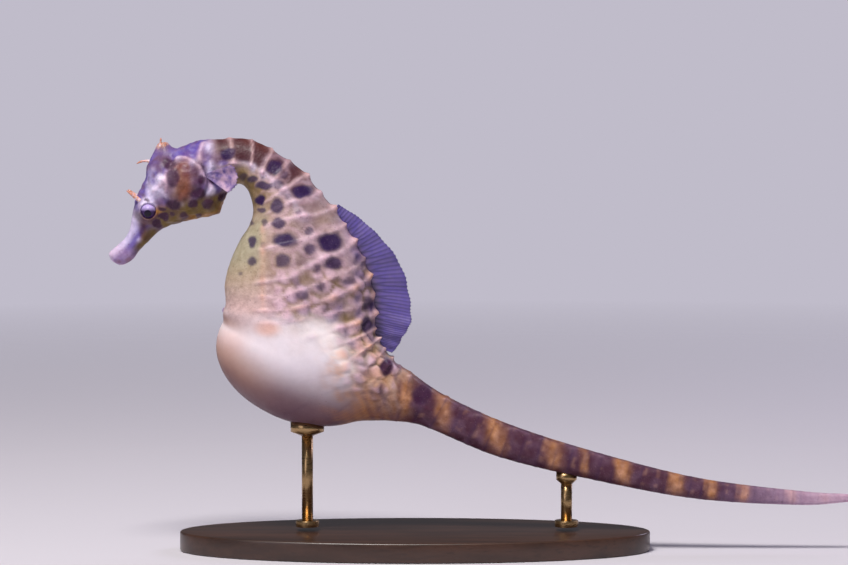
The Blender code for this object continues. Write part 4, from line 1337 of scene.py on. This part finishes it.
def stage_material(colours):
    """Matt pale card that fades into the room a long way from the model."""
    made, tree, shader = new_material("matt_pale_card", Roughness=0.9, Specular_IOR_Level=0.1)
    feed(shader, "Alpha", ranged(tree, vector_length(tree, object_place(tree)), *FLOOR_FADE))
    shader.inputs["Base Color"].default_value = rgba(colours.card)
    return made


def link_aimed(context, name, data, place, aim):
    """Put a lamp or a camera in the scene, turned to look at a place."""
    made = bpy.data.objects.new(name, data)
    made.location = place
    made.rotation_euler = (aim - made.location).to_track_quat("-Z", "Y").to_euler()
    context.scene.collection.objects.link(made)
    return made


class SEAHORSE_OT_stage(bpy.types.Operator):
    """A pale floor in a pale room, soft lamps and the camera"""
    bl_idname = "seahorse.stage"
    bl_label = "Stage"

    def execute(self, context):
        sizes, colours = choices(context)
        self.add_floor(colours)
        self.add_lamps(context)
        self.add_room(context, colours)
        self.add_camera(context, sizes)
        return {"FINISHED"}

    def add_floor(self, colours):
        """A broad card under the stand."""
        floor = add_piece("pale_floor", bpy.ops.mesh.primitive_plane_add, size=3.0)
        floor.data.materials.append(stage_material(colours))

    def add_lamps(self, context):
        """A broad lamp above, and weaker ones in front and behind."""
        for name, place, size, power, tint in LAMPS:
            lamp = bpy.data.lights.new(name, "AREA")
            lamp.shape = "DISK"
            lamp.size = size
            lamp.energy = power
            lamp.color = linear(tint)
            link_aimed(context, name, lamp, place, Vector(LAMP_AIM) * MM)

    def add_room(self, context, colours):
        """Weak light from all round. The camera sees a pale wall wherever the floor has faded out."""
        world = bpy.data.worlds.new("soft_room")
        world.use_nodes = True
        tree = world.node_tree
        glow, output = tree.nodes["Background"], tree.nodes["World Output"]
        glow.inputs["Color"].default_value = rgba(linear(GLOW))
        glow.inputs["Strength"].default_value = GLOW_STRENGTH
        wall = add_node(tree, "ShaderNodeBackground", {"Color": rgba(colours.wall)})
        seen = add_node(tree, "ShaderNodeLightPath").outputs["Is Camera Ray"]
        room = add_node(tree, "ShaderNodeMixShader", {0: seen, 1: glow.outputs[0], 2: wall.outputs[0]})
        tree.links.new(room.outputs[0], output.inputs["Surface"])
        context.scene.world = world
        context.scene.view_settings.view_transform = "Standard"  # colours show as they are set

    def add_camera(self, context, sizes):
        """A long lens, level with the animal and a little above it."""
        aim, rise, distance = Vector(CAMERA_AIM) * MM, sizes.camera_rise, sizes.camera_distance
        camera = bpy.data.cameras.new("camera")
        camera.sensor_width = SENSOR
        camera.lens = SENSOR * distance / (VIEW_WIDTH * MM)
        camera.clip_end = 50
        place = aim + Vector((0, -math.cos(rise), math.sin(rise))) * distance
        context.scene.camera = link_aimed(context, "camera", camera, place, aim)


class SEAHORSE_PT_panel(bpy.types.Panel):
    """Lists the pieces, in the order in which they are made"""
    bl_label = "Seahorse"
    bl_idname = "SEAHORSE_PT_panel"
    bl_space_type = "VIEW_3D"
    bl_region_type = "UI"
    bl_category = "Seahorse"

    def draw(self, context):
        for operator in OPERATORS:
            self.layout.operator(operator.bl_idname)
        for group in choices(context):
            box = self.layout.box()
            for name in group.__annotations__:
                box.prop(group, name)


OPERATORS = (SEAHORSE_OT_skin, SEAHORSE_OT_eyes, SEAHORSE_OT_threads, SEAHORSE_OT_dorsal_fin,
             SEAHORSE_OT_small_fins, SEAHORSE_OT_stand, SEAHORSE_OT_stage)
CLASSES = (SeahorseSizes, SeahorseColours, *OPERATORS, SEAHORSE_PT_panel)


def register():
    for item in CLASSES:
        bpy.utils.register_class(item)
    bpy.types.Scene.seahorse_sizes = PointerProperty(type=SeahorseSizes)
    bpy.types.Scene.seahorse_colours = PointerProperty(type=SeahorseColours)


def unregister():
    del bpy.types.Scene.seahorse_colours
    del bpy.types.Scene.seahorse_sizes
    for item in reversed(CLASSES):
        bpy.utils.unregister_class(item)


def main():
    """Make every piece in order."""
    register()
    bpy.ops.seahorse.skin()
    bpy.ops.seahorse.eyes()
    bpy.ops.seahorse.threads()
    bpy.ops.seahorse.dorsal_fin()
    bpy.ops.seahorse.small_fins()
    bpy.ops.seahorse.stand()
    bpy.ops.seahorse.stage()


if __name__ == "__main__":
    main()
